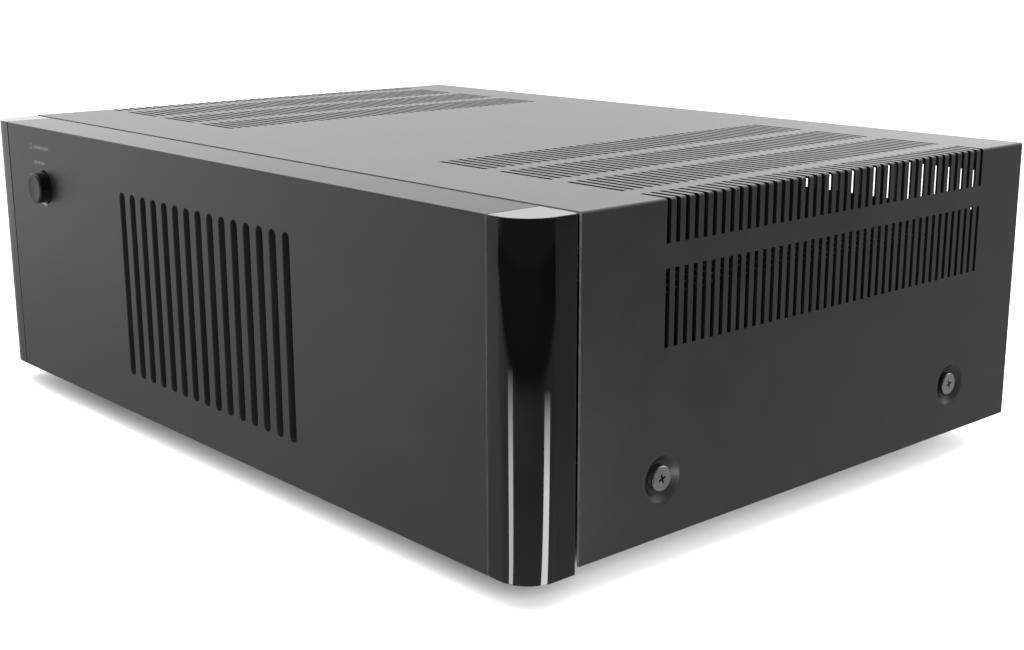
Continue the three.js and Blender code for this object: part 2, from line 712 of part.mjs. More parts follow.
function terminalCap(x) {
  const low = POST_FLANGE_Y + 2 * POST_TRAVEL_STEP + RING_LENGTH;
  const high = DEPTH / 2;
  const teeth = 12;
  const points = Array.from({ length: teeth * 2 }, (_, i) => {
    const angle = (i / (teeth * 2)) * 2 * Math.PI;
    const radius = i % 2 ? 8.2 : 7.5;
    return [x + radius * Math.cos(angle), POST_Z + radius * Math.sin(angle)];
  });
  const bore = rod("y", POST_STUD + 0.4, low - 1, high - 4, x, POST_Z, 14);
  const plug = rod("y", 2.4, high - 0.8, high + 1, x, POST_Z, 14);
  return cut(prism("y", outlineOf(points), low, high), [bore, plug]);
}

function phonoJack(z) {
  const tip = OUTSIDE_Y + 11;
  const profile = [
    [0, REAR_INNER - 19],
    [4.8, REAR_INNER - 19],
    [4.8, OUTSIDE_Y],
    [6.6, OUTSIDE_Y],
    [6.6, OUTSIDE_Y + 2],
    [4.15, OUTSIDE_Y + 2],
    [4.15, tip],
    [1.65, tip],
    [1.65, tip - 9],
    [0, tip - 9],
  ];
  return turned("y", profile, JACK_X, z, 16);
}

function selectorSwitch() {
  const front = REAR_INNER - 9;
  const back = REAR_INNER - GAP;
  const body = box(SELECTOR_X - 10, SELECTOR_X + 10, front, back, SELECTOR_Z - 5, SELECTOR_Z + 5);
  const pocket = box(SELECTOR_X - 4.6, SELECTOR_X + 4.6, back - 5, back + 1, SELECTOR_Z - 2.9, SELECTOR_Z + 2.9);
  return cut(body, [pocket]);
}

function selectorSlider() {
  const x = SELECTOR_X - SELECTOR_TRAVEL / 2;
  const body = box(x - 2, x + 2, REAR_INNER - 4.5, OUTSIDE_Y + 2.2, SELECTOR_Z - 2.4, SELECTOR_Z + 2.4);
  const groove = box(x - 0.4, x + 0.4, OUTSIDE_Y + 1.6, OUTSIDE_Y + 3, SELECTOR_Z - 3, SELECTOR_Z + 3);
  return cut(body, [groove]);
}

function mainsInlet() {
  const mouth = OUTSIDE_Y + 2;
  const floor = mouth - 19.1;
  const rim = (w, h, chamfer) =>
    outlineOf([
      [INLET_X - w, INLET_Z - h],
      [INLET_X + w, INLET_Z - h],
      [INLET_X + w, INLET_Z + h - chamfer],
      [INLET_X + w - chamfer, INLET_Z + h],
      [INLET_X - w + chamfer, INLET_Z + h],
      [INLET_X - w, INLET_Z + h - chamfer],
    ]);
  const flange = prism("y", rim(25, 14, 3), OUTSIDE_Y, mouth);
  const body = prism("y", rim(13.7, 10, 4), floor - 3, OUTSIDE_Y + 0.5);
  const cavity = prism("y", rim(12, 8.1, 3.6), floor, mouth + 1);
  const ears = [-20, 20].map((x) => rod("y", 1.8, OUTSIDE_Y - 1, mouth + 1, INLET_X + x, INLET_Z, 12));
  const pins = [
    [-7, -2],
    [0, 2],
    [7, -2],
  ].map(([x, z]) => {
    const [px, pz] = [INLET_X + x, INLET_Z + z];
    return box(px - 1, px + 1, floor - 1, floor + 14.5, pz - 2, pz + 2);
  });
  return join(cut(join(flange, body), [cavity], ears), ...pins);
}

function inputBoard() {
  const back = REAR_INNER - 19 - GAP;
  return box(JACK_X - 28, SELECTOR_X + 18, back - BOARD, back, 40, 102);
}

add("rear_panel", rearPanel(), satinBlack);
for (const { name, x, finish } of POSTS) {
  add(`${name}_post`, bindingPost(x), nickel);
  add(`${name}_pressure_ring`, pressureRing(x), nickel);
  add(`${name}_cap`, terminalCap(x), finish);
}
for (const [side, z] of Object.entries(JACK_ZS)) add(`${side}_input_jack`, phonoJack(z), nickel);
add("input_selector_switch", selectorSwitch(), blackPlastic);
add("input_selector_slider", selectorSlider(), blackPlastic);
add("mains_inlet", mainsInlet(), blackPlastic);
add("input_board", inputBoard(), boardGreen);

export default amplifier;
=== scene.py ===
"""Looks for the stereo power amplifier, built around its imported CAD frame.

Metres, +Z up, front towards -Y. The profiles of turned pieces are in mm."""

import json
import math

import bmesh
import bpy
from mathutils import Matrix, Vector

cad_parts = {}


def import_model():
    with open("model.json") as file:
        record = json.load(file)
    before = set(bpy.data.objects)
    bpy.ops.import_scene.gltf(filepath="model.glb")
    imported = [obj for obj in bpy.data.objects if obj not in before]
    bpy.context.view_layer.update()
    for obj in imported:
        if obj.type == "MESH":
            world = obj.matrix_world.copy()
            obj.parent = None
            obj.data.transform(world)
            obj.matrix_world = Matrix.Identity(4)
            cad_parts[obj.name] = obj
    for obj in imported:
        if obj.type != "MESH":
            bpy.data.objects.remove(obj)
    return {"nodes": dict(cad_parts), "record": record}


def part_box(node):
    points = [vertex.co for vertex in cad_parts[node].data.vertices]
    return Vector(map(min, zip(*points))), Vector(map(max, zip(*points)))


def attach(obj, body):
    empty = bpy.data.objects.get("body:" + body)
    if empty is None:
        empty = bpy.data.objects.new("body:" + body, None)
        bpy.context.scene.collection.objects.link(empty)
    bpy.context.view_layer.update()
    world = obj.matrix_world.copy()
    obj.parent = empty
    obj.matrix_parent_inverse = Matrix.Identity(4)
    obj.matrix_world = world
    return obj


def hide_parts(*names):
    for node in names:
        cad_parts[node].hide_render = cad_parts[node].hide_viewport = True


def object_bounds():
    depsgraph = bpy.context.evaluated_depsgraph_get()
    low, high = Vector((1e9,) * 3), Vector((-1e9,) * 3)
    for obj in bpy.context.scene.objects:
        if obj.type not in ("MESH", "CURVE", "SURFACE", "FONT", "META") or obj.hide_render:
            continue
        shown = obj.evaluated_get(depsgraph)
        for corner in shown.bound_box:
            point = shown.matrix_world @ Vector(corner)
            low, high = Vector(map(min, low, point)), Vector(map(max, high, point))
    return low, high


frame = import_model()
CAD_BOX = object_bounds()

MM = 0.001
BODY = "amplifier"
SIDES = {"left": -1, "right": 1}
AXES = {"x": 0, "y": 1, "z": 2}
SLOT_OF = {row["node"]: row["material_slot"] for row in frame["record"]["subparts"]}
REPLACED = set()  # CAD nodes that a finer piece stands for


def extent(node):
    """The low corner, high corner and centre of a CAD node."""
    low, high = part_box(node)
    return low, high, (low + high) / 2


# ---- materials
class Nodes:
    """A small helper around the node tree of a material or a world."""

    def __init__(self, owner, place):
        owner.use_nodes = True
        self.tree = owner.node_tree
        self.place = self.node("ShaderNodeTexCoord").outputs[place]

    def node(self, kind, **inputs):
        made = self.tree.nodes.new(kind)
        for key, value in inputs.items():
            made.inputs[key.replace("_", " ")].default_value = value
        return made

    def link(self, output, target):
        self.tree.links.new(output, target)

    def calc(self, operation, *values, kind="ShaderNodeMath", result="Value"):
        """A math node's output. Each value is a socket to link or a number to set."""
        made = self.node(kind)
        made.operation = operation
        for socket, value in zip(made.inputs, values):
            if isinstance(value, bpy.types.NodeSocket):
                self.link(value, socket)
            else:
                socket.default_value = value
        return made.outputs[result]

    def vector(self, operation, *values, result="Value"):
        return self.calc(operation, *values, kind="ShaderNodeVectorMath", result=result)

    def split(self, vector):
        """The X, Y and Z sockets of a vector."""
        made = self.node("ShaderNodeSeparateXYZ")
        self.link(vector, made.inputs[0])
        return made.outputs

    def eased(self, source, domain, result):
        """A value carried smoothly from one range to another."""
        made = self.node(
            "ShaderNodeMapRange", From_Min=domain[0], From_Max=domain[1], To_Min=result[0], To_Max=result[1])
        made.interpolation_type = "SMOOTHSTEP"
        self.link(source, made.inputs["Value"])
        return made.outputs["Result"]

    def stretched(self, scale):
        mapping = self.node("ShaderNodeMapping", Scale=scale)
        self.link(self.place, mapping.inputs["Vector"])
        return mapping.outputs["Vector"]

    def noise(self, size, detail=2.0, roughness=0.5, stretch=(1, 1, 1)):
        texture = self.node("ShaderNodeTexNoise", Scale=1 / size, Detail=detail, Roughness=roughness)
        self.link(self.stretched(stretch), texture.inputs["Vector"])
        return texture.outputs["Fac"]

    def ramp(self, source, low, high, stops=(0.35, 0.65), between=()):
        """A colour ramp. Its shades are greys or (r, g, b); between holds more stops as (position, shade)."""
        ramp = self.node("ShaderNodeValToRGB")
        elements = ramp.color_ramp.elements
        for element, position, value in zip(elements, stops, (low, high)):
            element.position = position
            element.color = rgba(value)
        for position, value in between:
            elements.new(position).color = rgba(value)
        self.link(source, ramp.inputs["Fac"])
        return ramp.outputs["Color"]


class MaterialNodes(Nodes):
    """The same for a new material."""

    def __init__(self, name):
        self.material = bpy.data.materials.new(name)
        super().__init__(self.material, "Object")
        self.shader = self.tree.nodes["Principled BSDF"]

    def vary(self, **sources):
        """Links each source to the shader's input of that name."""
        for key, source in sources.items():
            self.link(source, self.shader.inputs[key.replace("_", " ")])

    def fixed(self, **values):
        for key, value in values.items():
            self.shader.inputs[key.replace("_", " ")].default_value = value
        return self

    def bump(self, source, strength, distance):
        bump = self.node("ShaderNodeBump", Strength=strength, Distance=distance)
        self.link(source, bump.inputs["Height"])
        self.vary(Normal=bump.outputs["Normal"])

    def glow(self, strength, source=None):
        """The material with a plain glow in place of its shader."""
        emission = self.node("ShaderNodeEmission", Strength=strength)
        if source:
            self.link(source, emission.inputs["Color"])
        self.link(emission.outputs[0], self.tree.nodes["Material Output"].inputs["Surface"])
        return self.material


def rgba(value):
    return (*(value if isinstance(value, tuple) else (value,) * 3), 1.0)


def finish(name, low, high, rough, tint_size, grain_size, grain, depth, stretch=(1, 1, 1), **fixed):
    """A surface whose tint and roughness wander gently, with a fine grain pressed into it."""
    nodes = MaterialNodes(name)
    grains = nodes.noise(grain_size, 3.0, 0.6, stretch)
    nodes.vary(
        Base_Color=nodes.ramp(nodes.noise(tint_size, 3.0), low, high),
        Roughness=nodes.ramp(grains, rough[0], rough[1], (0.3, 0.7)))
    nodes.bump(grains, grain, depth)
    return nodes.fixed(**fixed).material


LOOKS = {
    "satin_black": finish(
        "satin_black_coat", 0.0058, 0.0072, (0.36, 0.42), 0.03, 0.0003, 0.12, 0.00003, IOR=1.55),
    "gloss_black": finish(
        "gloss_black_lacquer", 0.0006, 0.0009, (0.05, 0.07), 0.03, 0.004, 0.02, 0.00002, IOR=1.51),
    "cover_black": finish(
        "cover_powder_coat", 0.0045, 0.006, (0.36, 0.44), 0.02, 0.00035, 0.25, 0.00005, IOR=1.55),
    "zinc_steel": finish(
        "zinc_plate", (0.36, 0.37, 0.38), (0.48, 0.49, 0.5), (0.3, 0.45), 0.006, 0.0008, 0.1, 0.00003,
        Metallic=1.0),
    "screw_steel": finish(
        "plated_screw", 0.3, 0.34, (0.22, 0.28), 0.002, 0.0004, 0.05, 0.00001, Metallic=1.0),
    "black_anodised": finish(
        "black_anodise", 0.0014, 0.0022, (0.6, 0.72), 0.01, 0.0006, 0.06, 0.00001, (0.05, 1, 1),
        Specular_IOR_Level=0.1),
    # Near-black, weakly reflecting rims for the insides of the vents: painted shade, darker than the cover's
    # own coat.
    "vent_rim_shade": finish(
        "vent_rim_painted_shade", 0.0016, 0.0024, (0.6, 0.7), 0.01, 0.0004, 0.2, 0.00003, Specular_IOR_Level=0.12),
    "button_grey": finish(
        "button_grey_face", 0.006, 0.008, (0.3, 0.36), 0.004, 0.0003, 0.05, 0.00002,
        Specular_IOR_Level=0.26),
    "printed_mark": finish("printed_grey_ink", 0.068, 0.082, (0.5, 0.6), 0.002, 0.0003, 0.1, 0.00001),
    "black_plastic": finish(
        "moulded_black_plastic", 0.011, 0.016, (0.42, 0.52), 0.01, 0.0005, 0.25, 0.00005),
    "rubber": finish("black_rubber", 0.016, 0.024, (0.75, 0.9), 0.006, 0.0006, 0.3, 0.00006),
    "board_green": finish(
        "circuit_board", (0.006, 0.03, 0.014), (0.01, 0.05, 0.022), (0.35, 0.5), 0.012, 0.001, 0.2,
        0.00004),
    "capacitor_sleeve": finish(
        "capacitor_sleeve", (0.008, 0.01, 0.018), (0.011, 0.014, 0.024), (0.22, 0.3), 0.01, 0.001, 0.05,
        0.00003),
    "white_insulator": finish("white_insulator", 0.62, 0.68, (0.35, 0.45), 0.003, 0.0005, 0.1, 0.00002),
    "red_insulator": finish(
        "red_insulator", (0.42, 0.012, 0.014), (0.5, 0.018, 0.02), (0.35, 0.45), 0.003, 0.0005, 0.1,
        0.00002),
    # Near-black for the screws' cross recesses and the jacks' bores: painted shade in the recesses.
    "painted_recess_shade": finish("painted_recess_shade", 0.003, 0.005, (0.6, 0.75), 0.003, 0.0005, 0.1, 0.00002),
    "etched_aluminium": finish(
        "etched_aluminium", 0.4, 0.5, (0.34, 0.46), 0.003, 0.0005, 0.1, 0.00003, Metallic=1.0),
    # A lighter grey on the rounded upright edges at the panel's ends: a painted highlight.
    "painted_edge_highlight": finish("satin_coat_painted_edge_highlight", 0.022, 0.03, (0.5, 0.6), 0.004, 0.0004, 0.1, 0.00002),
    "turned_edge": finish(
        "turned_aluminium_edge", 0.34, 0.4, (0.42, 0.5), 0.003, 0.0004, 0.05, 0.00001, Metallic=1.0),
    "brass_pin": finish(
        "brass_pin", (0.62, 0.5, 0.3), (0.7, 0.58, 0.36), (0.25, 0.35), 0.003, 0.0005, 0.05, 0.00002,
        Metallic=1.0),
    "terminal_red": finish(
        "clear_red_lacquer", (0.3, 0.006, 0.008), (0.38, 0.01, 0.012), (0.16, 0.24), 0.004, 0.0006, 0.05,
        0.00002, Coat_Weight=0.6, Coat_Roughness=0.05),
    "terminal_black": finish(
        "black_lacquer", 0.008, 0.012, (0.16, 0.24), 0.004, 0.0006, 0.05, 0.00002, Coat_Weight=0.6,
        Coat_Roughness=0.05),
    "nickel": finish(
        "bright_nickel", (0.56, 0.5, 0.4), (0.66, 0.6, 0.48), (0.16, 0.24), 0.003, 0.0005, 0.05, 0.00002,
        Metallic=1.0),
    "cut_edge": finish(
        "cover_cut_edge", 0.08, 0.12, (0.4, 0.5), 0.004, 0.0005, 0.2, 0.00003, Metallic=0.4),
}


TAPE_TURNS = 54


def tape_look():
    """Overlapping turns of insulating tape, wound radially round the ring."""
    nodes = MaterialNodes("wound_tape")
    centre = extent("power_transformer")[2]
    away = nodes.split(nodes.vector("SUBTRACT", nodes.place, centre, result="Vector"))
    angle = nodes.calc("ARCTAN2", away["Y"], away["X"])
    step = nodes.calc("FRACT", nodes.calc("MULTIPLY", angle, TAPE_TURNS / math.tau))
    nodes.vary(Base_Color=nodes.ramp(step, (0.03, 0.022, 0.012), (0.06, 0.045, 0.024), (0.05, 0.95)))
    nodes.bump(step, 0.6, 0.0003)
    return nodes.fixed(Roughness=0.35).material


def panel_top_look():
    """The panel's satin coat on its top edge, smoother towards the button's end."""
    nodes = MaterialNodes("satin_black_top_edge")
    across = nodes.calc("MULTIPLY_ADD", nodes.split(nodes.place)["X"], 2.5, 0.5)
    nodes.vary(
        Base_Color=nodes.ramp(nodes.noise(0.03, 3.0), 0.0058, 0.0072),
        Roughness=nodes.ramp(across, 0.36, 0.46, (0.0, 1.0)))
    nodes.bump(nodes.noise(0.0003, 3.0, 0.6), 0.12, 0.00003)
    return nodes.fixed(IOR=1.5).material


LOOKS["insulating_tape"] = tape_look()
LOOKS["panel_top"] = panel_top_look()


# ---- mesh helpers
def placed(name, data):
    made = bpy.data.objects.new(name, data)
    bpy.context.scene.collection.objects.link(made)
    return made


def evaluated(made):
    """The mesh of an object with its modifiers applied."""
    bpy.context.view_layer.update()
    return bpy.data.meshes.new_from_object(made.evaluated_get(bpy.context.evaluated_depsgraph_get()))


def piece(name, mesh, look, smooth_angle=None, replaced=None, body=BODY):
    """Makes an object of a mesh and says what it rides on, which CAD node it stands for and its finish."""
    made = placed(name, mesh)
    for one in [look] if isinstance(look, str) else look:
        mesh.materials.append(LOOKS[one])
    if smooth_angle is not None:
        smoothed(mesh, smooth_angle)
    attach(made, body)
    if replaced:
        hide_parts(replaced)
        REPLACED.add(replaced)
    return made


def smoothed(mesh, angle, flat_area=200 * MM * MM):
    """Smooth shading across gentle edges only. Large faces are flat, so that no curve beside one tints it."""
    mesh.set_sharp_from_angle(angle=math.radians(angle))
    mesh.polygons.foreach_set("use_smooth", [p.area < flat_area for p in mesh.polygons])


def mesh_of(work, name):
    bmesh.ops.recalc_face_normals(work, faces=work.faces)
    mesh = bpy.data.meshes.new(name)
    work.to_mesh(mesh)
    work.free()
    return mesh


def loft(loops, caps=True):
    """Faces between loops that all have the same number of points."""
    work = bmesh.new()
    rows = [[work.verts.new(p) for p in loop] for loop in loops]
    count = len(rows[0])
    for low, high in zip(rows, rows[1:]):
        for i in range(count):
            j = (i + 1) % count
            work.faces.new((low[i], low[j], high[j], high[i]))
    if caps:
        work.faces.new(reversed(rows[0]))
        work.faces.new(rows[-1])
    return work


def along(axis, a, b, t):
    """The point at t along an axis, at (a, b) of the other two in X, Y, Z order."""
    if axis == "x":
        return (t, a, b)
    if axis == "y":
        return (a, t, b)
    return (a, b, t)


def lathe_work(axis, profile, a, b, segments=64, teeth=0):
    """A turned solid. The profile is (radius, distance along the axis) in mm; it ends on the axis or closes
    on itself. A third value of a point is the depth of the flutes there. There are as many as teeth."""
    closed = profile[0] == profile[-1]
    points = profile[:-1] if closed else profile
    work = bmesh.new()
    rings = []
    for radius, t, *flute in points:
        if radius < 1e-6:
            rings.append([work.verts.new(along(axis, a, b, t * MM))])
            continue
        ring = []
        for i in range(segments):
            turn = math.tau * i / segments
            depth = flute[0] * (0.5 + 0.5 * math.cos(teeth * turn)) ** 2 if flute else 0.0
            u = a + (radius - depth) * MM * math.cos(turn)
            v = b + (radius - depth) * MM * math.sin(turn)
            ring.append(work.verts.new(along(axis, u, v, t * MM)))
        rings.append(ring)
    pairs = list(zip(rings, rings[1:])) + ([(rings[-1], rings[0])] if closed else [])
    for low, high in pairs:
        for i in range(segments):
            j = (i + 1) % segments
            corners = [low[i % len(low)], low[j % len(low)], high[j % len(high)], high[i % len(high)]]
            unique = list(dict.fromkeys(corners))
            if len(unique) > 2:
                work.faces.new(unique)
    return work


def turned(name, axis, profile, centre, segments, teeth=0):
    """The mesh of a solid turned round the line through a centre along an axis."""
    a, b = [centre[i] for i in range(3) if i != AXES[axis]]
    return mesh_of(lathe_work(axis, profile, a, b, segments, teeth), name)


def rounded(profile, radius, steps=3):
    """A profile (mm) whose inner corners are rounded off. A third value of a point overrides the radius."""
    out = []
    for index, point in enumerate(profile):
        here = Vector(point[:2])
        own = point[2] if len(point) > 2 else radius
        if index in (0, len(profile) - 1) or own <= 0:
            out.append((here.x, here.y))
            continue
        before = Vector(profile[index - 1][:2])
        after = Vector(profile[index + 1][:2])
        reach = min(own, (before - here).length * 0.45, (after - here).length * 0.45)
        start = here + (before - here).normalized() * reach
        end = here + (after - here).normalized() * reach
        for k in range(steps + 1):
            t = k / steps
            spot = start * (1 - t) ** 2 + here * 2 * t * (1 - t) + end * t ** 2
            out.append((spot.x, spot.y))
    return out


def box_work(low, high):
    work = bmesh.new()
    bmesh.ops.create_cube(work, size=1.0)
    size = Vector(high) - Vector(low)
    middle = (Vector(high) + Vector(low)) / 2
    bmesh.ops.scale(work, vec=size, verts=work.verts)
    bmesh.ops.translate(work, vec=middle, verts=work.verts)
    return work


def prism_work(outline, front, back):
    """A plate whose outline is drawn in (x, z), between two planes of y, in metres."""
    return loft([[(x, y, z) for x, z in outline] for y in (front, back)])


def bevelled(work, width, segments=2, angle=30):
    """Rounds every edge sharper than an angle."""
    bmesh.ops.recalc_face_normals(work, faces=work.faces)
    sharp = math.radians(angle)
    edges = [e for e in work.edges if len(e.link_faces) == 2 and e.calc_face_angle(0) > sharp]
    bmesh.ops.bevel(
        work, geom=edges, offset=width, offset_type="OFFSET", segments=segments, profile=0.5, affect="EDGES",
        clamp_overlap=True)
    return work


def merged(*works):
    """One mesh work from several."""
    whole = bmesh.new()
    for work in works:
        scrap = mesh_of(work, "scrap")
        whole.from_mesh(scrap)
        bpy.data.meshes.remove(scrap)
    return whole


def subtract(mesh, *works):
    """The mesh with every cutter taken out of it."""
    target = placed("boolean_target", mesh)
    cutter = placed("boolean_cutter", mesh_of(merged(*works), "cutter"))
    modifier = target.modifiers.new("cut", "BOOLEAN")
    modifier.operation = "DIFFERENCE"
    modifier.solver = "EXACT"
    modifier.use_self = True
    modifier.object = cutter
    result = evaluated(target)
    for one in (target, cutter):
        bpy.data.objects.remove(one)
    return result


def away_from(a, b):
    """The distance in mm of a point from the axis along y through (a, b)."""
    return lambda spot: math.hypot(spot.x - a, spot.z - b) / MM


def paint(mesh, index, chosen):
    """Gives a material index to the faces whose centre and normal are chosen."""
    for polygon in mesh.polygons:
        if chosen(polygon.center, polygon.normal):
            polygon.material_index = index


# ---- front panel and end caps
SLOTS = 15
SLOT_PITCH = 10 * MM
SLOT_RADIUS = 2.5 * MM
SLOT_RISE = (19.7 * MM, 109.2 * MM)  # above the panel's lower edge
PANEL_WEB = 5 * MM
BUTTON_HOLE = 8.3 * MM
BUTTON_CHAMFER = 1.1 * MM
LIP = 0.3 * MM


def lipped(outline, front, back):
    """A cutter through a plate whose mouth at the front is rounded by LIP. outline(grow) gives a loop of
    (x, z)."""
    steps = [(1.0, -LIP * 2), (1.0, 0.0), (0.46, LIP * 0.11), (0.13, LIP * 0.45)]
    steps += [(0.0, LIP), (0.0, back - front + LIP)]
    return loft([[(x, front + depth, z) for x, z in outline(grow * LIP)] for grow, depth in steps])


def arc(x, y, radius, start, sweep, steps):
    turns = [start + sweep * i / steps for i in range(steps + 1)]
    return [(x + radius * math.cos(turn), y + radius * math.sin(turn)) for turn in turns]


def circle(x, y, radius, steps=64):
    return arc(x, y, radius, 0, math.tau, steps)[:-1]


def obround(x, low, high, radius, grow, steps=14):
    r = radius + grow
    return arc(x, high - radius, r, 0, math.pi, steps) + arc(x, low + radius, r, math.pi, math.pi, steps)


panel_low, panel_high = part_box("front_panel")
button = extent("power_button")[2]


def front_panel():
    y0, y1 = panel_low.y, panel_high.y
    z0, z1 = panel_low.z, panel_high.z
    flange = 3 * MM
    outline = [
        (y0, z0), (y1, z0), (y1, z0 + flange), (y0 + PANEL_WEB, z0 + flange),
        (y0 + PANEL_WEB, z1 - flange), (y1, z1 - flange), (y1, z1), (y0, z1),
    ]
    work = loft([[(x, y, z) for y, z in outline] for x in (panel_low.x, panel_high.x)])
    mesh = mesh_of(bevelled(work, 0.45 * MM, 3), "front_panel")
    cutters = []
    for i in range(SLOTS):
        x = (i - (SLOTS - 1) / 2) * SLOT_PITCH
        cutters.append(lipped(
            lambda grow, x=x: obround(x, z0 + SLOT_RISE[0], z0 + SLOT_RISE[1], SLOT_RADIUS, grow),
            y0, y0 + PANEL_WEB))
    mouth = BUTTON_HOLE + BUTTON_CHAMFER
    cone = [(y0 - LIP, mouth + LIP), (y0 + BUTTON_CHAMFER, BUTTON_HOLE), (y0 + PANEL_WEB + LIP, BUTTON_HOLE)]
    cutters.append(loft([[(x, y, z) for x, z in circle(button.x, button.z, radius)] for y, radius in cone]))
    mesh = subtract(mesh, *cutters)
    looks = ["satin_black", "panel_top", "turned_edge", "painted_edge_highlight"]
    piece("front_fascia", mesh, looks, 25, "front_panel")
    end = panel_high.x - 0.5 * MM
    off_button = away_from(button.x, button.z)
    paint(mesh, 1, lambda spot, normal: normal.z > 0.99 and spot.z > z1 - 0.01 * MM)
    # The rounded upright edges at the panel's ends take the lighter grey, a painted highlight.
    paint(mesh, 3, lambda spot, normal: normal.y < -0.2 and abs(normal.x) > 0.2 and abs(spot.x) > end)
    paint(mesh, 2, lambda spot, normal: abs(normal.y + 0.707) < 0.05 and off_button(spot) < mouth / MM)


CAP_RADIUS = 14 * MM
CAP_REBATE = 1.2 * MM
GLOSSY_CAPS = []


def end_cap(side, sign):
    low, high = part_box(f"{side}_end_cap")
    radius = CAP_RADIUS
    inner, outer = (low.x, high.x) if sign > 0 else (high.x, low.x)
    corner = Vector((outer - sign * radius, low.y + radius))
    loop = [(inner, high.y), (inner, low.y)]
    for i in range(49):
        turn = math.radians(90 * i / 48)
        loop.append((corner.x + sign * radius * math.sin(turn), corner.y - radius * math.cos(turn)))
    shelf = outer - sign * CAP_REBATE
    loop += [(outer, high.y - CAP_REBATE), (shelf, high.y - CAP_REBATE), (shelf, high.y)]
    work = loft([[(x, y, z) for x, y in loop] for z in (low.z, high.z)])
    mesh = mesh_of(bevelled(work, 0.4 * MM, 3), f"{side}_end_cap")
    cap = piece(f"{side}_cap_moulding", mesh, "gloss_black", 25, f"{side}_end_cap")
    GLOSSY_CAPS.append(cap)


front_panel()
for side_name, side_sign in SIDES.items():
    end_cap(side_name, side_sign)


# ---- power button
def power_button():
    low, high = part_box("power_button")
    y0, y1 = low.y / MM, high.y / MM
    back = (panel_low.y + 4.2 * MM) / MM
    profile = [(0, y0 + 0.3), (3, y0 + 0.26), (5.4, y0 + 0.12), (6.6, y0), (6.9, y0), (7.25, y0 + 0.1)]
    profile += [(7.55, y0 + 0.3), (7.72, y0 + 0.55), (7.8, y0 + 0.9), (7.8, back)]
    profile += [(3, back), (3, y1), (0, y1)]
    mesh = turned("power_button", "y", profile, button, 128)
    looks = ["button_grey", "gloss_black"]
    piece("push_button", mesh, looks, 35, "power_button", "power_button")
    wall = low.y + 0.7 * MM
    paint(mesh, 1, lambda spot, normal: spot.y > wall)


power_button()


# ---- printed marks above the button
MARK_PROUD = 0.03 * MM
MARK_DEEP = 0.06 * MM


def printed(outline):
    return prism_work(outline, panel_low.y - MARK_PROUD, panel_low.y + MARK_DEEP)


def bar_mark(x, z, length, thickness):
    """A printed line with round ends, centred on (x, z)."""
    half, r, quarter = length / 2 - thickness / 2, thickness / 2, math.pi / 2
    return printed(arc(x + half, z, r, -quarter, math.pi, 8) + arc(x - half, z, r, quarter, math.pi, 8))


def power_mark(x, z, radius, thickness):
    """The usual power symbol: a ring that is open at the top, with a short upright bar in the opening."""
    start, sweep, steps = math.radians(128), math.radians(284), 40
    loop = arc(x, z, radius, start, sweep, steps) + arc(x, z, radius - thickness, start, sweep, steps)[::-1]
    half, top = thickness / 2, z + radius * 1.15
    return [printed(loop), printed([(x - half, z), (x + half, z), (x + half, top), (x - half, top)])]


def printed_marks():
    x, z = button.x, button.z
    works = power_mark(x - 12 * MM, z + 20.5 * MM, 1.9 * MM, 0.7 * MM)
    works.append(bar_mark(x + 0.4 * MM, z + 20.3 * MM, 17 * MM, 1.8 * MM))
    works.append(bar_mark(x - 2.7 * MM, z + 12.5 * MM, 12.6 * MM, 1.8 * MM))
    piece("printed_marks", mesh_of(merged(*works), "printed_marks"), "printed_mark")


printed_marks()


# ---- cover
VENTS = 42
VENT_PITCH = 5 * MM
VENT_WIDTH = 2.2 * MM
VENT_FIRST = 70 * MM  # behind the panel's face
COLUMN_STARTS = [83.6 + 39.3 * i for i in range(4)]  # mm from the middle; the fourth wraps over the edge
COLUMN_LENGTH = 30.6
WRAP_FOOT = 116.2 * MM  # heights above the panel's lower edge: the end of the wrapping vents,
LOWER_ROW = (107 * MM, 77 * MM)  # and the top and bottom of the row below them
SHEET = 1.0 * MM
BEND = 1.15 * MM
# Radius and depth in mm, from the rim of a screw's dish to its hole
DISH = [(10.6, 0), (9.9, 0.02), (9.5, 0.14), (9.1, 0.45), (6.9, 2.5), (6.5, 2.82), (6.1, 2.9), (2.7, 2.9)]
PATCH = 12 * MM  # half the width of the square of sheet round a dish
PATCH_STEPS = [i * PATCH / 4 - PATCH for i in range(9)]

cover_low, cover_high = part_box("top_cover")
screw_spots = [extent(f"{end}_right_cover_screw")[2].yz for end in ("front", "rear")]


def cover_path():
    """Stations (x, z) down the right half of the cover's section, and which spans between them are open."""
    half, top = cover_high.x, cover_high.z
    lift = panel_low.z
    stations, open_spans = [(0.0, top)], set()
    for start in COLUMN_STARTS[:-1]:
        stations.append((start * MM, top))
        open_spans.add(len(stations) - 1)
        stations.append(((start + COLUMN_LENGTH) * MM, top))
    stations.append((COLUMN_STARTS[-1] * MM, top))
    wrap = len(stations) - 1
    for i in range(11):
        turn = math.radians(9 * i)
        stations.append((half - BEND + BEND * math.sin(turn), top - BEND + BEND * math.cos(turn)))
    stations.append((half, lift + WRAP_FOOT))
    open_spans.update(range(wrap, len(stations) - 1))
    stations.append((half, lift + LOWER_ROW[0]))
    open_spans.add(len(stations) - 1)
    stations.append((half, lift + LOWER_ROW[1]))
    stations += [(half, screw_spots[0].y + step) for step in PATCH_STEPS[::-1]]
    stations.append((half, cover_low.z))
    return stations, open_spans


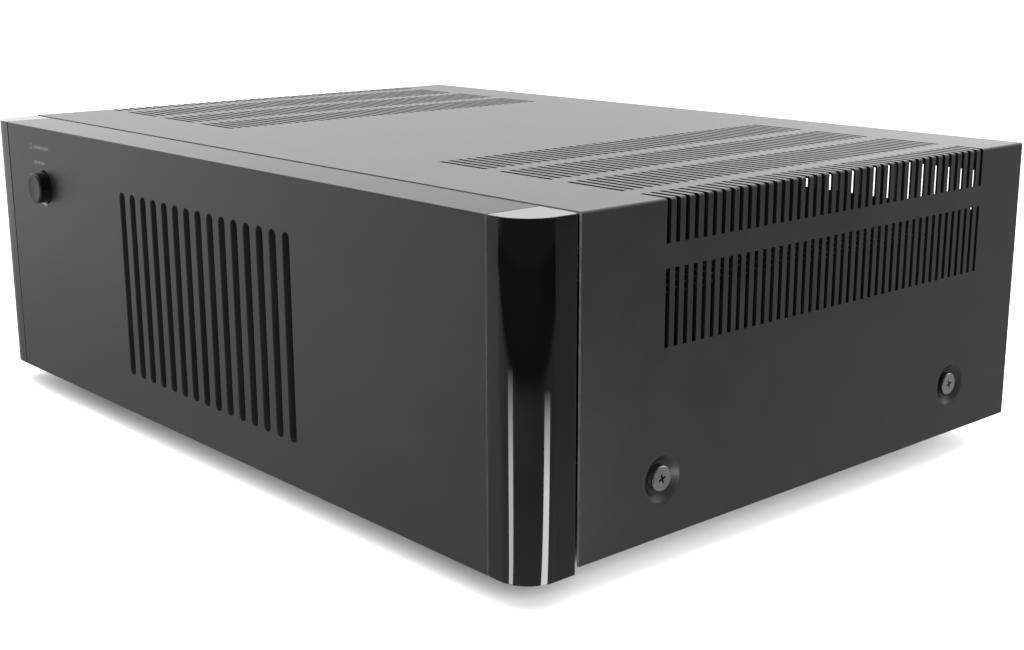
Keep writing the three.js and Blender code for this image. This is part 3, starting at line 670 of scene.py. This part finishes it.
def cover_rows():
    """Lines across the cover, front to back, and the spans between them that are inside a vent."""
    first = panel_low.y + VENT_FIRST
    edges = []
    for i in range(VENTS):
        middle = first + i * VENT_PITCH
        edges += [middle - VENT_WIDTH / 2, middle + VENT_WIDTH / 2]
    rows = set([cover_low.y, cover_high.y] + edges)
    for spot in screw_spots:
        for step in PATCH_STEPS:
            y = spot.x + step
            if abs(step) == PATCH or min(abs(y - edge) for edge in edges) > 0.6 * MM:
                rows.add(y)
    ordered = sorted(rows)
    vents = set()
    for index, (a, b) in enumerate(zip(ordered, ordered[1:])):
        middle = (a + b) / 2
        nearest = round((middle - first) / VENT_PITCH)
        if 0 <= nearest < VENTS and abs(middle - first - nearest * VENT_PITCH) < VENT_WIDTH / 2:
            vents.add(index)
    return ordered, vents


def dish_patch(work, ring, spot, sign):
    """A pressed dish with a screw hole, filling the square that a ring of the cover's vertices goes round."""
    loops = [ring]
    for radius, depth in DISH:
        loop = []
        for vertex in ring:
            away = Vector((vertex.co.y - spot.x, vertex.co.z - spot.y)).normalized()
            y, z = spot + away * (radius * MM)
            loop.append(work.verts.new((sign * (cover_high.x - depth * MM), y, z)))
        loops.append(loop)
    for low, high in zip(loops, loops[1:]):
        for i in range(len(ring)):
            j = (i + 1) % len(ring)
            work.faces.new((low[i], low[j], high[j], high[i]))


def top_cover():
    stations, open_spans = cover_path()
    rows, vent_rows = cover_rows()
    work = bmesh.new()
    centre_line = [work.verts.new((0, y, stations[0][1])) for y in rows]
    for sign in SIDES.values():
        grid = [centre_line]
        grid += [[work.verts.new((sign * x, y, z)) for y in rows] for x, z in stations[1:]]
        patches = []
        for spot in screw_spots:
            near = PATCH + 1e-7
            js = [j for j, y in enumerate(rows) if abs(y - spot.x) <= near]
            ks = [k for k, (x, z) in enumerate(stations) if abs(z - spot.y) <= near and x == stations[-1][0]]
            patches.append((spot, js[0], js[-1], ks[0], ks[-1]))
        for k in range(len(stations) - 1):
            for j in range(len(rows) - 1):
                if k in open_spans and j in vent_rows:
                    continue
                if any(j0 <= j < j1 and k0 <= k < k1 for _, j0, j1, k0, k1 in patches):
                    continue
                work.faces.new((grid[k][j], grid[k][j + 1], grid[k + 1][j + 1], grid[k + 1][j]))
        for spot, j0, j1, k0, k1 in patches:
            ring = [grid[k0][j] for j in range(j0, j1)]
            ring += [grid[k][j1] for k in range(k0, k1)]
            ring += [grid[k1][j] for j in range(j1, j0, -1)]
            ring += [grid[k][j0] for k in range(k1, k0, -1)]
            dish_patch(work, ring, spot, sign)
    mesh = mesh_of(work, "top_cover")
    if sum(p.normal.z for p in mesh.polygons) < 0:
        mesh.flip_normals()
    looks = ["cover_black", "cut_edge", "vent_rim_shade"]
    shell = piece("steel_cover", mesh, looks, None, "top_cover")
    solid = shell.modifiers.new("sheet", "SOLIDIFY")
    solid.thickness = SHEET
    solid.offset = -1
    solid.use_even_offset = True
    solid.material_offset_rim = 1
    final = evaluated(shell)
    shell.modifiers.clear()
    shell.data = final
    # Rim faces more than 5 mm from the sheet's front, back and foot are the vents' insides; they take the
    # darker rim finish, a painted shade.
    for polygon in final.polygons:
        spot = polygon.center
        near_edge = min(spot.y - cover_low.y, cover_high.y - spot.y, spot.z - cover_low.z)
        if polygon.material_index == 1 and near_edge > 5 * MM:
            polygon.material_index = 2
    smoothed(final, 40)
    return shell


STEEL_COVER = top_cover()


def cover_lip():
    low = (-cover_high.x + 3 * MM, cover_high.y - SHEET, cover_high.z - 10 * MM)
    high = (cover_high.x - 3 * MM, cover_high.y - 0.01 * MM, cover_high.z - 0.4 * MM)
    mesh = mesh_of(bevelled(box_work(low, high), 0.15 * MM, 2), "cover_lip")
    piece("cover_rear_lip", mesh, "cover_black", 30)


cover_lip()


# ---- screws
SCREW_TURN = math.radians(18)


def cross_bars(axis, a, b, arm, thick, near, far, turn=0.0):
    """Two crossed bars, from near to far along the axis through (a, b)."""
    bars = []
    for wide, tall in ((arm, thick), (thick, arm)):
        bar = box_work(along(axis, -wide, -tall, near), along(axis, wide, tall, far))
        spin = Matrix.Rotation(turn, 3, axis.upper())
        bmesh.ops.rotate(bar, cent=(0, 0, 0), matrix=spin, verts=bar.verts)
        bmesh.ops.translate(bar, vec=along(axis, a, b, 0), verts=bar.verts)
        bars.append(bar)
    return bars


def turned_head(head, top, sign, rings=9):
    """The upper half of a flat screw head with shallow turned rings, from its rim to its middle."""
    profile = [(head, top - sign * 0.4, 0.1), (head - 0.4, top, 0.08)]
    for i in range(rings):
        radius = head * (0.88 - 0.5 * i / (rings - 1))
        profile.append((radius, top - sign * (0.05 if i % 2 else 0.0), 0.04))
    return profile + [(0, top)]


def cross_screw(node, axis, sign, head, height, shank):
    """A flat-headed screw with a small cross recess, its head towards sign on the axis."""
    low, high, centre = extent(node)
    index = AXES[axis]
    top = (high if sign > 0 else low)[index] / MM
    tip = (low if sign > 0 else high)[index] / MM
    others = [i for i in range(3) if i != index]
    a, b = [centre[i] for i in others]
    under = top - sign * height
    profile = [(0, tip), (shank * 0.6, tip), (shank, tip + sign * 1), (shank, under), (head, under, 0.2)]
    profile += turned_head(head, top, sign)
    mesh = turned(node, axis, rounded(profile, 0.1), centre, 72)
    depth = height * 0.6
    arm, thick = head * 0.36 * MM, head * 0.085 * MM
    near, far = sorted(((top - sign * depth) * MM, (top + sign * 1) * MM))
    mesh = subtract(mesh, *cross_bars(axis, a, b, arm, thick, near, far, SCREW_TURN))
    piece(f"{node}_head", mesh, ["screw_steel", "painted_recess_shade"], 35, node)

    def in_recess(spot, normal):
        below = abs(spot[index] / MM - top)
        aside = math.hypot(*(spot[i] - centre[i] for i in others))
        return 0.12 < below < depth + 0.05 and aside < arm * 1.05

    # The cross recess is painted near-black, a painted shade.
    paint(mesh, 1, in_recess)


for end_name in ("front", "rear"):
    for side_name, side_sign in SIDES.items():
        cross_screw(f"{end_name}_{side_name}_cover_screw", "x", side_sign, 5.1, 2.5, 2.0)
for side_name in SIDES:
    cross_screw(f"{side_name}_rear_screw", "y", 1, 3.4, 2.0, 1.5)


# ---- feet
def foot(node):
    """A moulded foot with a fine groove round it."""
    low, high, middle = extent(node)
    z0, z1 = low.z / MM, high.z / MM
    groove = z0 + 4.2
    profile = [
        (2.5, z0), (21, z0, 0.3), (22, z0 + 1, 0.6), (21.6, groove - 0.5, 0.15), (21.1, groove, 0.2),
        (21.4, groove + 0.5, 0.15), (20, z1, 0.4), (2.5, z1), (2.5, z0),
    ]
    mesh = turned(node, "z", rounded(profile, 0.1), middle, 96)
    piece(f"{node}_moulding", mesh, "black_plastic", 30, node)


def foot_pad(node):
    """A rubber pad with pressed rings underneath."""
    _, high, middle = extent(node)
    z1 = high.z / MM
    profile = [(0, 0.3), (4, 0.3), (4.4, 0)]
    for radius in (8, 12, 16):
        profile += [(radius - 0.4, 0), (radius, 0.4), (radius + 0.4, 0.4), (radius + 0.8, 0)]
    profile += [(18.2, 0), (18.7, 0.2), (18.95, 0.6), (19, 0.9), (19, z1 - 0.2), (18.8, z1), (0, z1)]
    mesh = turned(node, "z", profile, middle, 96)
    piece(f"{node}_rubber", mesh, "rubber", 30, node)


for end_name in ("front", "rear"):
    for side_name in SIDES:
        foot(f"{end_name}_{side_name}_foot")
        foot_pad(f"{end_name}_{side_name}_foot_pad")


# ---- rear connectors
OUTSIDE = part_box("rear_panel")[1].y / MM + 0.3  # mm; where pieces mounted on the rear panel begin


def binding_post(name, shade):
    node = f"{name}_post"
    low, high, middle = extent(node)
    flange = OUTSIDE + 3.9
    profile = [
        (0, low.y / MM), (4.6, low.y / MM, 0.3), (4.6, OUTSIDE), (8.5, OUTSIDE, 0.3),
        (8.5, flange - 0.6, 0.4), (7.9, flange, 0.3), (3, flange), (3, high.y / MM, 0.5), (0, high.y / MM),
    ]
    mesh = turned(node, "y", rounded(profile, 0.1), middle, 64)
    piece(f"{name}_stud", mesh, ["nickel", shade], 30, node)
    radius = away_from(middle.x, middle.z)
    paint(mesh, 1, lambda spot, normal: radius(spot) > 4.7 and spot.y / MM > OUTSIDE - 0.1)


def pressure_ring(name):
    node = f"{name}_pressure_ring"
    low, high, middle = extent(node)
    y0, y1 = low.y / MM, high.y / MM
    profile = [(3.4, y0), (7.3, y0, 0.4), (7.3, y1, 0.4), (3.4, y1), (3.4, y0)]
    mesh = turned(node, "y", rounded(profile, 0.1), middle, 64)
    piece(f"{name}_clamp_ring", mesh, "nickel", 30, node)


CAP_FLUTES = 12


def terminal_cap(name, shade):
    """A fluted lacquered cap with a plain collar, a bore for the stud and a metal plug in its end."""
    node = f"{name}_cap"
    low, high, middle = extent(node)
    y0, y1 = low.y / MM, high.y / MM
    bore = y1 - 4
    profile = [
        (0, bore), (3.4, bore), (3.4, y0), (7.4, y0), (7.8, y0 + 0.2), (8.0, y0 + 0.7), (8.0, y0 + 1.6),
        (7.8, y0 + 1.9, 0.1), (8.0, y0 + 2.3, 0.4), (8.2, y0 + 3.2, 0.75), (8.2, y1 - 2.2, 0.75),
        (8.1, y1 - 1.2, 0.6), (7.8, y1 - 0.5, 0.35), (7.3, y1 - 0.1, 0.1), (6.9, y1), (2.7, y1),
        (2.45, y1 - 0.15), (2.4, y1 - 0.4), (2.4, y1 - 0.8), (0, y1 - 0.8),
    ]
    mesh = turned(node, "y", profile, middle, CAP_FLUTES * 16, CAP_FLUTES)
    piece(f"{name}_knob", mesh, [shade, "nickel"], 30, node, node)
    radius = away_from(middle.x, middle.z)
    paint(mesh, 1, lambda spot, normal: radius(spot) < 2.42 and spot.y / MM > y1 - 1)


def phono_jack(side, shade):
    """A turned nickel shell with a coloured washer and a coloured insulator in its mouth."""
    node = f"{side}_input_jack"
    low, high, middle = extent(node)
    tip = high.y / MM
    profile = [
        (0, low.y / MM), (4.8, low.y / MM, 0.3), (4.8, OUTSIDE), (6.6, OUTSIDE), (6.6, OUTSIDE + 1.1, 0.2),
        (5.5, OUTSIDE + 1.3, 0.1), (5.3, OUTSIDE + 2, 0.2), (4.15, OUTSIDE + 2), (4.15, tip - 6, 0.1),
        (4.0, tip - 5.7, 0.1), (4.15, tip - 5.4, 0.1), (4.15, tip - 0.4, 0.3), (3.8, tip, 0.2),
        (3.35, tip, 0.1), (3.3, tip - 0.5), (2.0, tip - 0.5, 0.1), (1.65, tip - 0.9), (1.65, tip - 9),
        (0, tip - 9),
    ]
    mesh = turned(node, "y", rounded(profile, 0.08), middle, 72)
    piece(f"{side}_phono_jack", mesh, ["nickel", shade, "painted_recess_shade"], 30, node)
    radius = away_from(middle.x, middle.z)
    paint(mesh, 1, lambda spot, normal: radius(spot) > 5.4 and spot.y / MM > OUTSIDE - 0.1)
    paint(mesh, 1, lambda spot, normal: 1.7 < radius(spot) < 3.29 and spot.y / MM > tip - 1)
    # The bore inside the insulator is painted near-black, a painted shade.
    paint(mesh, 2, lambda spot, normal: radius(spot) <= 1.7 and spot.y / MM > tip - 10)


INLET_EARS = (-20, 20)
INLET_PINS = ((-7, -2), (0, 2), (7, -2))
INLET_DEPTH = 19.1 * MM
PIN_LENGTH = 14.5 * MM


def inlet_outline(x, z, half_width, half_height, chamfer):
    """The inlet's shape, sizes in mm round (x, z): a rectangle with its two upper corners cut off."""
    corners = [
        (-half_width, -half_height), (half_width, -half_height), (half_width, half_height - chamfer),
        (half_width - chamfer, half_height), (chamfer - half_width, half_height),
        (-half_width, half_height - chamfer),
    ]
    return [(x + u * MM, z + v * MM) for u, v in corners]


def mains_inlet():
    """The inlet's moulding with a deep socket and countersunk ears, its three pins and its two screws."""
    low, high, middle = extent("mains_inlet")
    x, z = middle.x, middle.z
    mouth = high.y
    floor_y = mouth - INLET_DEPTH
    outside = OUTSIDE * MM
    flange = bevelled(prism_work(inlet_outline(x, z, 25, 14, 3), outside, mouth), 0.7 * MM, 3)
    body = bevelled(prism_work(inlet_outline(x, z, 13.7, 10, 4), low.y, outside + 0.5 * MM), 0.5 * MM, 2)
    mesh = mesh_of(merged(flange, body), "mains_inlet")
    cavity = bevelled(prism_work(inlet_outline(x, z, 12, 8.1, 3.6), floor_y, mouth + 2 * MM), 0.6 * MM, 3)
    lip = loft([
        [(u, y, v) for u, v in inlet_outline(x, z, 12 + grow, 8.1 + grow, 3.6)]
        for y, grow in ((mouth - 0.8 * MM, -0.05), (mouth + 0.2 * MM, 0.95))
    ])
    hole = [(0, -1), (1.8, -1), (1.8, 0.4), (3.4, 2), (3.4, 3), (0, 3)]
    hole = [(radius, OUTSIDE + y) for radius, y in hole]
    ears = [lathe_work("y", hole, x + ear * MM, z, 48) for ear in INLET_EARS]
    mesh = subtract(mesh, cavity, *ears)
    mesh = subtract(mesh, lip)
    piece("mains_socket", mesh, "black_plastic", 30, "mains_inlet")
    pins = []
    for u, v in INLET_PINS:
        near = (x + (u - 1) * MM, floor_y - 1 * MM, z + (v - 2) * MM)
        far = (x + (u + 1) * MM, floor_y + PIN_LENGTH, z + (v + 2) * MM)
        pins.append(bevelled(box_work(near, far), 0.35 * MM, 2))
    piece("mains_socket_pins", mesh_of(merged(*pins), "pins"), "brass_pin", 30)
    top = OUTSIDE + 1.75
    screw = [(0, 0.1), (1.6, 0.1), (1.6, 0.5), (3.05, 1.6), (2.9, 1.75), (0, 1.75)]
    screw = [(radius, OUTSIDE + y) for radius, y in screw]
    for side, ear in zip(SIDES, INLET_EARS):
        spot = x + ear * MM
        bars = cross_bars("y", spot, z, 1.3 * MM, 0.28 * MM, (top - 1) * MM, (top + 1) * MM)
        mesh = subtract(mesh_of(lathe_work("y", screw, spot, z, 48), "inlet_screw"), *bars)
        piece(f"{side}_inlet_screw", mesh, "screw_steel", 30)


for channel in SIDES:
    for pole, shade in (("negative", "terminal_black"), ("positive", "terminal_red")):
        binding_post(f"{channel}_{pole}", shade)
        pressure_ring(f"{channel}_{pole}")
        terminal_cap(f"{channel}_{pole}", shade)
phono_jack("left", "white_insulator")
phono_jack("right", "red_insulator")
mains_inlet()


# ---- power supply
def reservoir_capacitor(node):
    """A sleeved can with a rolled groove near its foot and a pressed cross in its bare top."""
    low, high, middle = extent(node)
    z0, z1 = low.z / MM, high.z / MM
    profile = [
        (0, z0), (17.3, z0, 0.3), (17.5, z0 + 2.6, 0.6), (16.6, z0 + 4.4, 0.8), (17.5, z0 + 6.2, 0.6),
        (17.5, z1 - 1.2, 0.6), (16.6, z1, 0.5), (15.2, z1, 0.2), (15.0, z1 - 0.5, 0.2), (0, z1 - 0.5),
    ]
    mesh = turned(node, "z", rounded(profile, 0.1), middle, 80)
    x, y = middle.xy
    mesh = subtract(mesh, *cross_bars("z", x, y, 11 * MM, 0.35 * MM, (z1 - 0.9) * MM, (z1 + 1) * MM))
    looks = ["capacitor_sleeve", "etched_aluminium"]
    piece(f"{node}_can", mesh, looks, 30, node)
    bare = 15.05 * MM
    under = high.z - 2 * MM
    paint(mesh, 1, lambda spot, normal: math.hypot(spot.x - x, spot.y - y) < bare and spot.z > under)


def transformer_stack():
    """The wound ring with its pad, dished clamp plate and bolt."""
    low, high, middle = extent("power_transformer")
    z0, z1 = low.z / MM, high.z / MM
    profile = []
    corners = [(57, z0 + 13, 13, -90), (57, z1 - 13, 13, 0)]
    corners += [(28.5, z1 - 6.5, 6.5, 90), (28.5, z0 + 6.5, 6.5, 180)]
    for radius, z, round_off, start in corners:
        for i in range(9):
            turn = math.radians(start + 90 * i / 8)
            profile.append((radius + round_off * math.cos(turn), z + round_off * math.sin(turn), 0.4))
    profile.append(profile[0])
    mesh = turned("power_transformer", "z", profile, middle, TAPE_TURNS * 6, TAPE_TURNS)
    piece("wound_transformer", mesh, "insulating_tape", 40, "power_transformer")

    low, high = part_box("transformer_pad")
    z0, z1 = low.z / MM, high.z / MM
    profile = rounded([(22, z0), (62, z0, 0.5), (62, z1, 0.5), (22, z1), (22, z0)], 0.2)
    mesh = turned("transformer_pad", "z", profile, middle, 96)
    piece("transformer_rubber", mesh, "rubber", 30, "transformer_pad")

    low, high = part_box("transformer_clamp_plate")
    z0, z1 = low.z / MM, high.z / MM
    profile = rounded([
        (4.4, z0), (18, z0), (20, z0 + 0.3), (34, z0 + 0.3), (36, z0, 0.3), (36, z1 - 0.3, 0.3),
        (34.5, z1, 0.3), (21, z1, 0.4), (19, z1 - 0.35, 0.4), (4.4, z1 - 0.35), (4.4, z0)], 0.1)
    mesh = turned("transformer_clamp_plate", "z", profile, middle, 96)
    piece("dished_clamp_plate", mesh, "zinc_steel", 25, "transformer_clamp_plate")

    low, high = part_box("transformer_bolt")
    top, tip = high.z / MM, low.z / MM
    under = top - 5.3
    hexagon = arc(0, 0, 7.4, math.tau / 12, math.tau, 6)[:-1]
    head = loft([
        [(middle.x + u * size * MM, middle.y + v * size * MM, z * MM) for u, v in hexagon]
        for z, size in ((under, 1.0), (top - 0.6, 1.0), (top, 0.9))
    ])
    profile = [(0, tip), (3.2, tip), (4, tip + 1), (4, under + 0.2), (0, under + 0.2)]
    shank = lathe_work("z", profile, middle.x, middle.y, 48)
    mesh = mesh_of(merged(bevelled(head, 0.2 * MM, 2), shank), "transformer_bolt")
    piece("hexagon_bolt", mesh, "screw_steel", 30, "transformer_bolt")


for number in range(1, 5):
    reservoir_capacitor(f"reservoir_capacitor_{number}")
transformer_stack()


# ---- CAD nodes that stay, with finer edges
def keep(node, width):
    """A CAD node that is shown as it is, with its finish and, unless width (mm) is 0, rounded edges."""
    shown = frame["nodes"][node]
    shown.data.materials.clear()
    shown.data.materials.append(LOOKS[SLOT_OF[node]])
    if width:
        weld = shown.modifiers.new("weld", "WELD")
        weld.merge_threshold = 0.01 * MM
        edge = shown.modifiers.new("edge", "BEVEL")
        edge.width = width * MM
        edge.segments = 2
        edge.limit_method = "ANGLE"
        edge.angle_limit = math.radians(35)
        edge.use_clamp_overlap = True


for node_name in sorted(set(SLOT_OF) - REPLACED):
    keep(node_name, 0.0 if node_name.endswith("_heat_sink") else 0.15)


# ---- floor, light and camera
GROUND = CAD_BOX[0][2]
FLOOR_LEVEL = GROUND - 0.0002
CARD_LEVEL = GROUND - 0.0006
TABLE_LEVEL = FLOOR_LEVEL - 0.001
DOME_LEVEL = GROUND - 0.01
STAGE_OUTLINE = circle(0, 0, 14.0, 96)
DOME_RADIUS = 13.5
TABLE_GLOW = 1.12
TABLE_NEAR = 0.68  # how bright the strip before the front panel is, against the rest
TABLE_EDGE = (0.26, 0.38)  # where the table ends beyond the cap's foot, at the start and end of its fade
CAP_FOOT = Vector((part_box("right_end_cap")[1].x - 0.01, panel_low.y + 0.005, 0))
VIEW_YAW = math.radians(48.64)  # the camera's heading, which the table and the room's light follow
CAMERA_TURN = (48.622, 13.95, -0.167)  # yaw, pitch and roll in degrees
CAMERA_SPOT = (0.5804, panel_low.y - 0.3274, panel_low.z + 0.2192)
CAMERA_LENS = 52.83  # mm, on a sensor 36 mm wide


def stage_mesh(name, mesh, material, **visible):
    """A stage piece that only the named kinds of ray see."""
    made = placed(name, mesh)
    mesh.materials.append(material)
    for kind in ("camera", "diffuse", "glossy", "transmission", "volume_scatter", "shadow"):
        setattr(made, f"visible_{kind}", visible.get(kind, False))
    return made


def stage_plane(name, points, z, material, **visible):
    """A flat stage piece at height z."""
    work = bmesh.new()
    work.faces.new([work.verts.new((x, y, z)) for x, y in points])
    mesh = mesh_of(work, name)
    if mesh.polygons[0].normal.z < 0:
        mesh.flip_normals()
    return stage_mesh(name, mesh, material, **visible)


def floor():
    """The white floor that is seen. Far from the amplifier it glows by itself, so that it stays white."""
    nodes = MaterialNodes("pale_floor")
    away = nodes.vector("LENGTH", nodes.stretched((0.2, 0.2, 0.2)))  # 1 at 5 m
    nodes.vary(
        Base_Color=nodes.ramp(nodes.noise(0.4, 2.0), 0.86, 0.88),
        Emission_Color=nodes.ramp(away, 0.0, 1.0, (0.25, 0.6)))
    nodes.fixed(Roughness=0.5, Specular_IOR_Level=0.2, Emission_Strength=1.0)
    stage_plane("floor", STAGE_OUTLINE, FLOOR_LEVEL, nodes.material, camera=True, diffuse=True)


def table_top():
    """The table top that the glossy pieces mirror: pale near the amplifier, dimmer right before its front and
    on the right, and nearly dark beyond the table's edge on the camera's side."""
    nodes = MaterialNodes("table_top")
    place = nodes.split(nodes.place)

    def beyond_foot(heading):
        """How far a point lies beyond the cap's foot in a direction (x, y)."""
        parts = [
            nodes.calc("MULTIPLY_ADD", place[axis], factor, -foot * factor)
            for axis, factor, foot in zip("XY", heading, CAP_FOOT)
        ]
        return nodes.calc("ADD", *parts)

    out = beyond_foot((math.sin(VIEW_YAW), -math.cos(VIEW_YAW)))
    aside = nodes.calc("ABSOLUTE", beyond_foot((math.cos(VIEW_YAW), math.sin(VIEW_YAW))))
    reach = nodes.calc("ADD", out, nodes.calc("MULTIPLY", aside, 0.25))
    level = nodes.ramp(reach, 1.0, 0.05, (0.0, TABLE_EDGE[1]), [(0.08, 0.64), (TABLE_EDGE[0], 0.55)])
    forward = nodes.calc("MULTIPLY_ADD", place["Y"], -1.0, 0.0)
    leftward = nodes.calc("MULTIPLY_ADD", place["X"], -1.0, 0.25)
    for factor in (
            nodes.ramp(forward, TABLE_NEAR, 1.0, (0.2, 0.45)),
            nodes.ramp(leftward, 0.66, 1.0, (0.0, 1.0), [(0.3, 0.75), (0.6, 0.77)])):
        level = nodes.calc("MULTIPLY", level, factor)
    stage_plane("table_top", STAGE_OUTLINE, TABLE_LEVEL, nodes.glow(TABLE_GLOW, level), glossy=True)


def light_card(name, heading, half_angle, reach, glow, mirrors):
    """A narrow white card on the table, seen only as a highlight in some pieces. It fades with distance."""
    near = 0.02
    directions = [math.radians(heading + turn) for turn in (-half_angle, half_angle)]
    points = []
    for distance, order in ((near, directions), (reach, directions[::-1])):
        points += [(CAP_FOOT.x + distance * math.cos(d), CAP_FOOT.y + distance * math.sin(d)) for d in order]
    nodes = MaterialNodes(name)
    away = nodes.vector("DISTANCE", nodes.place, (CAP_FOOT.x, CAP_FOOT.y, GROUND))
    fade = nodes.ramp(away, 1.0, 0.0, (0.1, reach * 0.98))
    card = stage_plane(name, points, CARD_LEVEL, nodes.glow(glow, fade), glossy=True)
    lit = bpy.data.collections.new(f"{name}_lights")
    for mirror in mirrors:
        lit.objects.link(mirror)
    card.light_linking.receiver_collection = lit


def backdrop(rows=13, columns=48):
    """A white dome that only the camera sees, so that no view looks past the floor into the studio."""
    rings = []
    for i in range(rows):
        rise = math.radians(90 * i / rows)
        z = DOME_LEVEL + DOME_RADIUS * math.sin(rise)
        rings.append([(x, y, z) for x, y in circle(0, 0, DOME_RADIUS * math.cos(rise), columns)])
    work = loft(rings, caps=False)
    work.verts.ensure_lookup_table()
    work.faces.new(work.verts[-columns:])
    stage_mesh("backdrop", mesh_of(work, "backdrop"), MaterialNodes("backdrop_white").glow(1.0), camera=True)


def world(front, back, skyline, zenith):
    """An even studio, brighter behind the amplifier than on the camera's side, dimmer low down all round, and
    a little brighter in two places: straight behind and on the left."""
    made = bpy.data.worlds.new("studio")
    nodes = Nodes(made, "Generated")

    def facing(x, y, z):
        return nodes.vector("DOT_PRODUCT", nodes.place, (x, y, z))

    strength = nodes.eased(facing(-math.sin(VIEW_YAW), math.cos(VIEW_YAW), 0.15), (-0.3, 0.7), (front, back))
    for factor in (
            nodes.eased(nodes.split(nodes.place)["Z"], (0.06, 0.32), (skyline, zenith)),
            nodes.eased(facing(-0.35, 0.937, 0), (0.9, 1.0), (1.0, 1.7)),
            nodes.eased(facing(-0.97, 0.243, 0), (0.9, 1.0), (1.0, 1.25))):
        strength = nodes.calc("MULTIPLY", strength, factor)
    background = nodes.tree.nodes["Background"]
    background.inputs["Color"].default_value = rgba(1.0)
    nodes.link(strength, background.inputs["Strength"])
    bpy.context.scene.world = made


def softbox(name, spot, aim, size, power):
    """A lamp that lights the scene but is mirrored nowhere."""
    data = bpy.data.lights.new(name, "AREA")
    data.shape = "RECTANGLE"
    data.size, data.size_y = size
    data.energy = power
    made = placed(name, data)
    made.location = spot
    made.rotation_euler = (Vector(aim) - Vector(spot)).to_track_quat("-Z", "Y").to_euler()
    made.visible_glossy = False


def camera():
    yaw, pitch, roll = (math.radians(v) for v in CAMERA_TURN)
    forward = Vector((-math.sin(yaw) * math.cos(pitch), math.cos(yaw) * math.cos(pitch), -math.sin(pitch)))
    right = Vector((math.cos(yaw), math.sin(yaw), 0))
    up = right.cross(forward)
    across = right * math.cos(roll) + up * math.sin(roll)
    upward = up * math.cos(roll) - right * math.sin(roll)
    data = bpy.data.cameras.new("camera")
    data.sensor_width = 36
    data.lens = CAMERA_LENS
    data.clip_start = 0.01
    made = placed("camera", data)
    turn = Matrix((across, upward, -forward)).transposed().to_4x4()
    made.matrix_world = Matrix.Translation(CAMERA_SPOT) @ turn
    bpy.context.scene.camera = made


floor()
table_top()
light_card("left_card", -95, 7.5, 0.43, 9.4, GLOSSY_CAPS)
light_card("right_card", 16, 9.0, 0.33, 12.8, GLOSSY_CAPS + [STEEL_COVER])
backdrop()
world(0.16, 1.95, 0.58, 1.1)
softbox("top_softbox", (0.3, -0.3, 2.2), (0, 0, 0), (3.0, 3.0), 90)
softbox("front_fill", (1.3, -0.9, 0.55), (0.2, -0.1, 0), (1.2, 0.9), 46)
camera()
bpy.context.scene.view_settings.view_transform = "Standard"
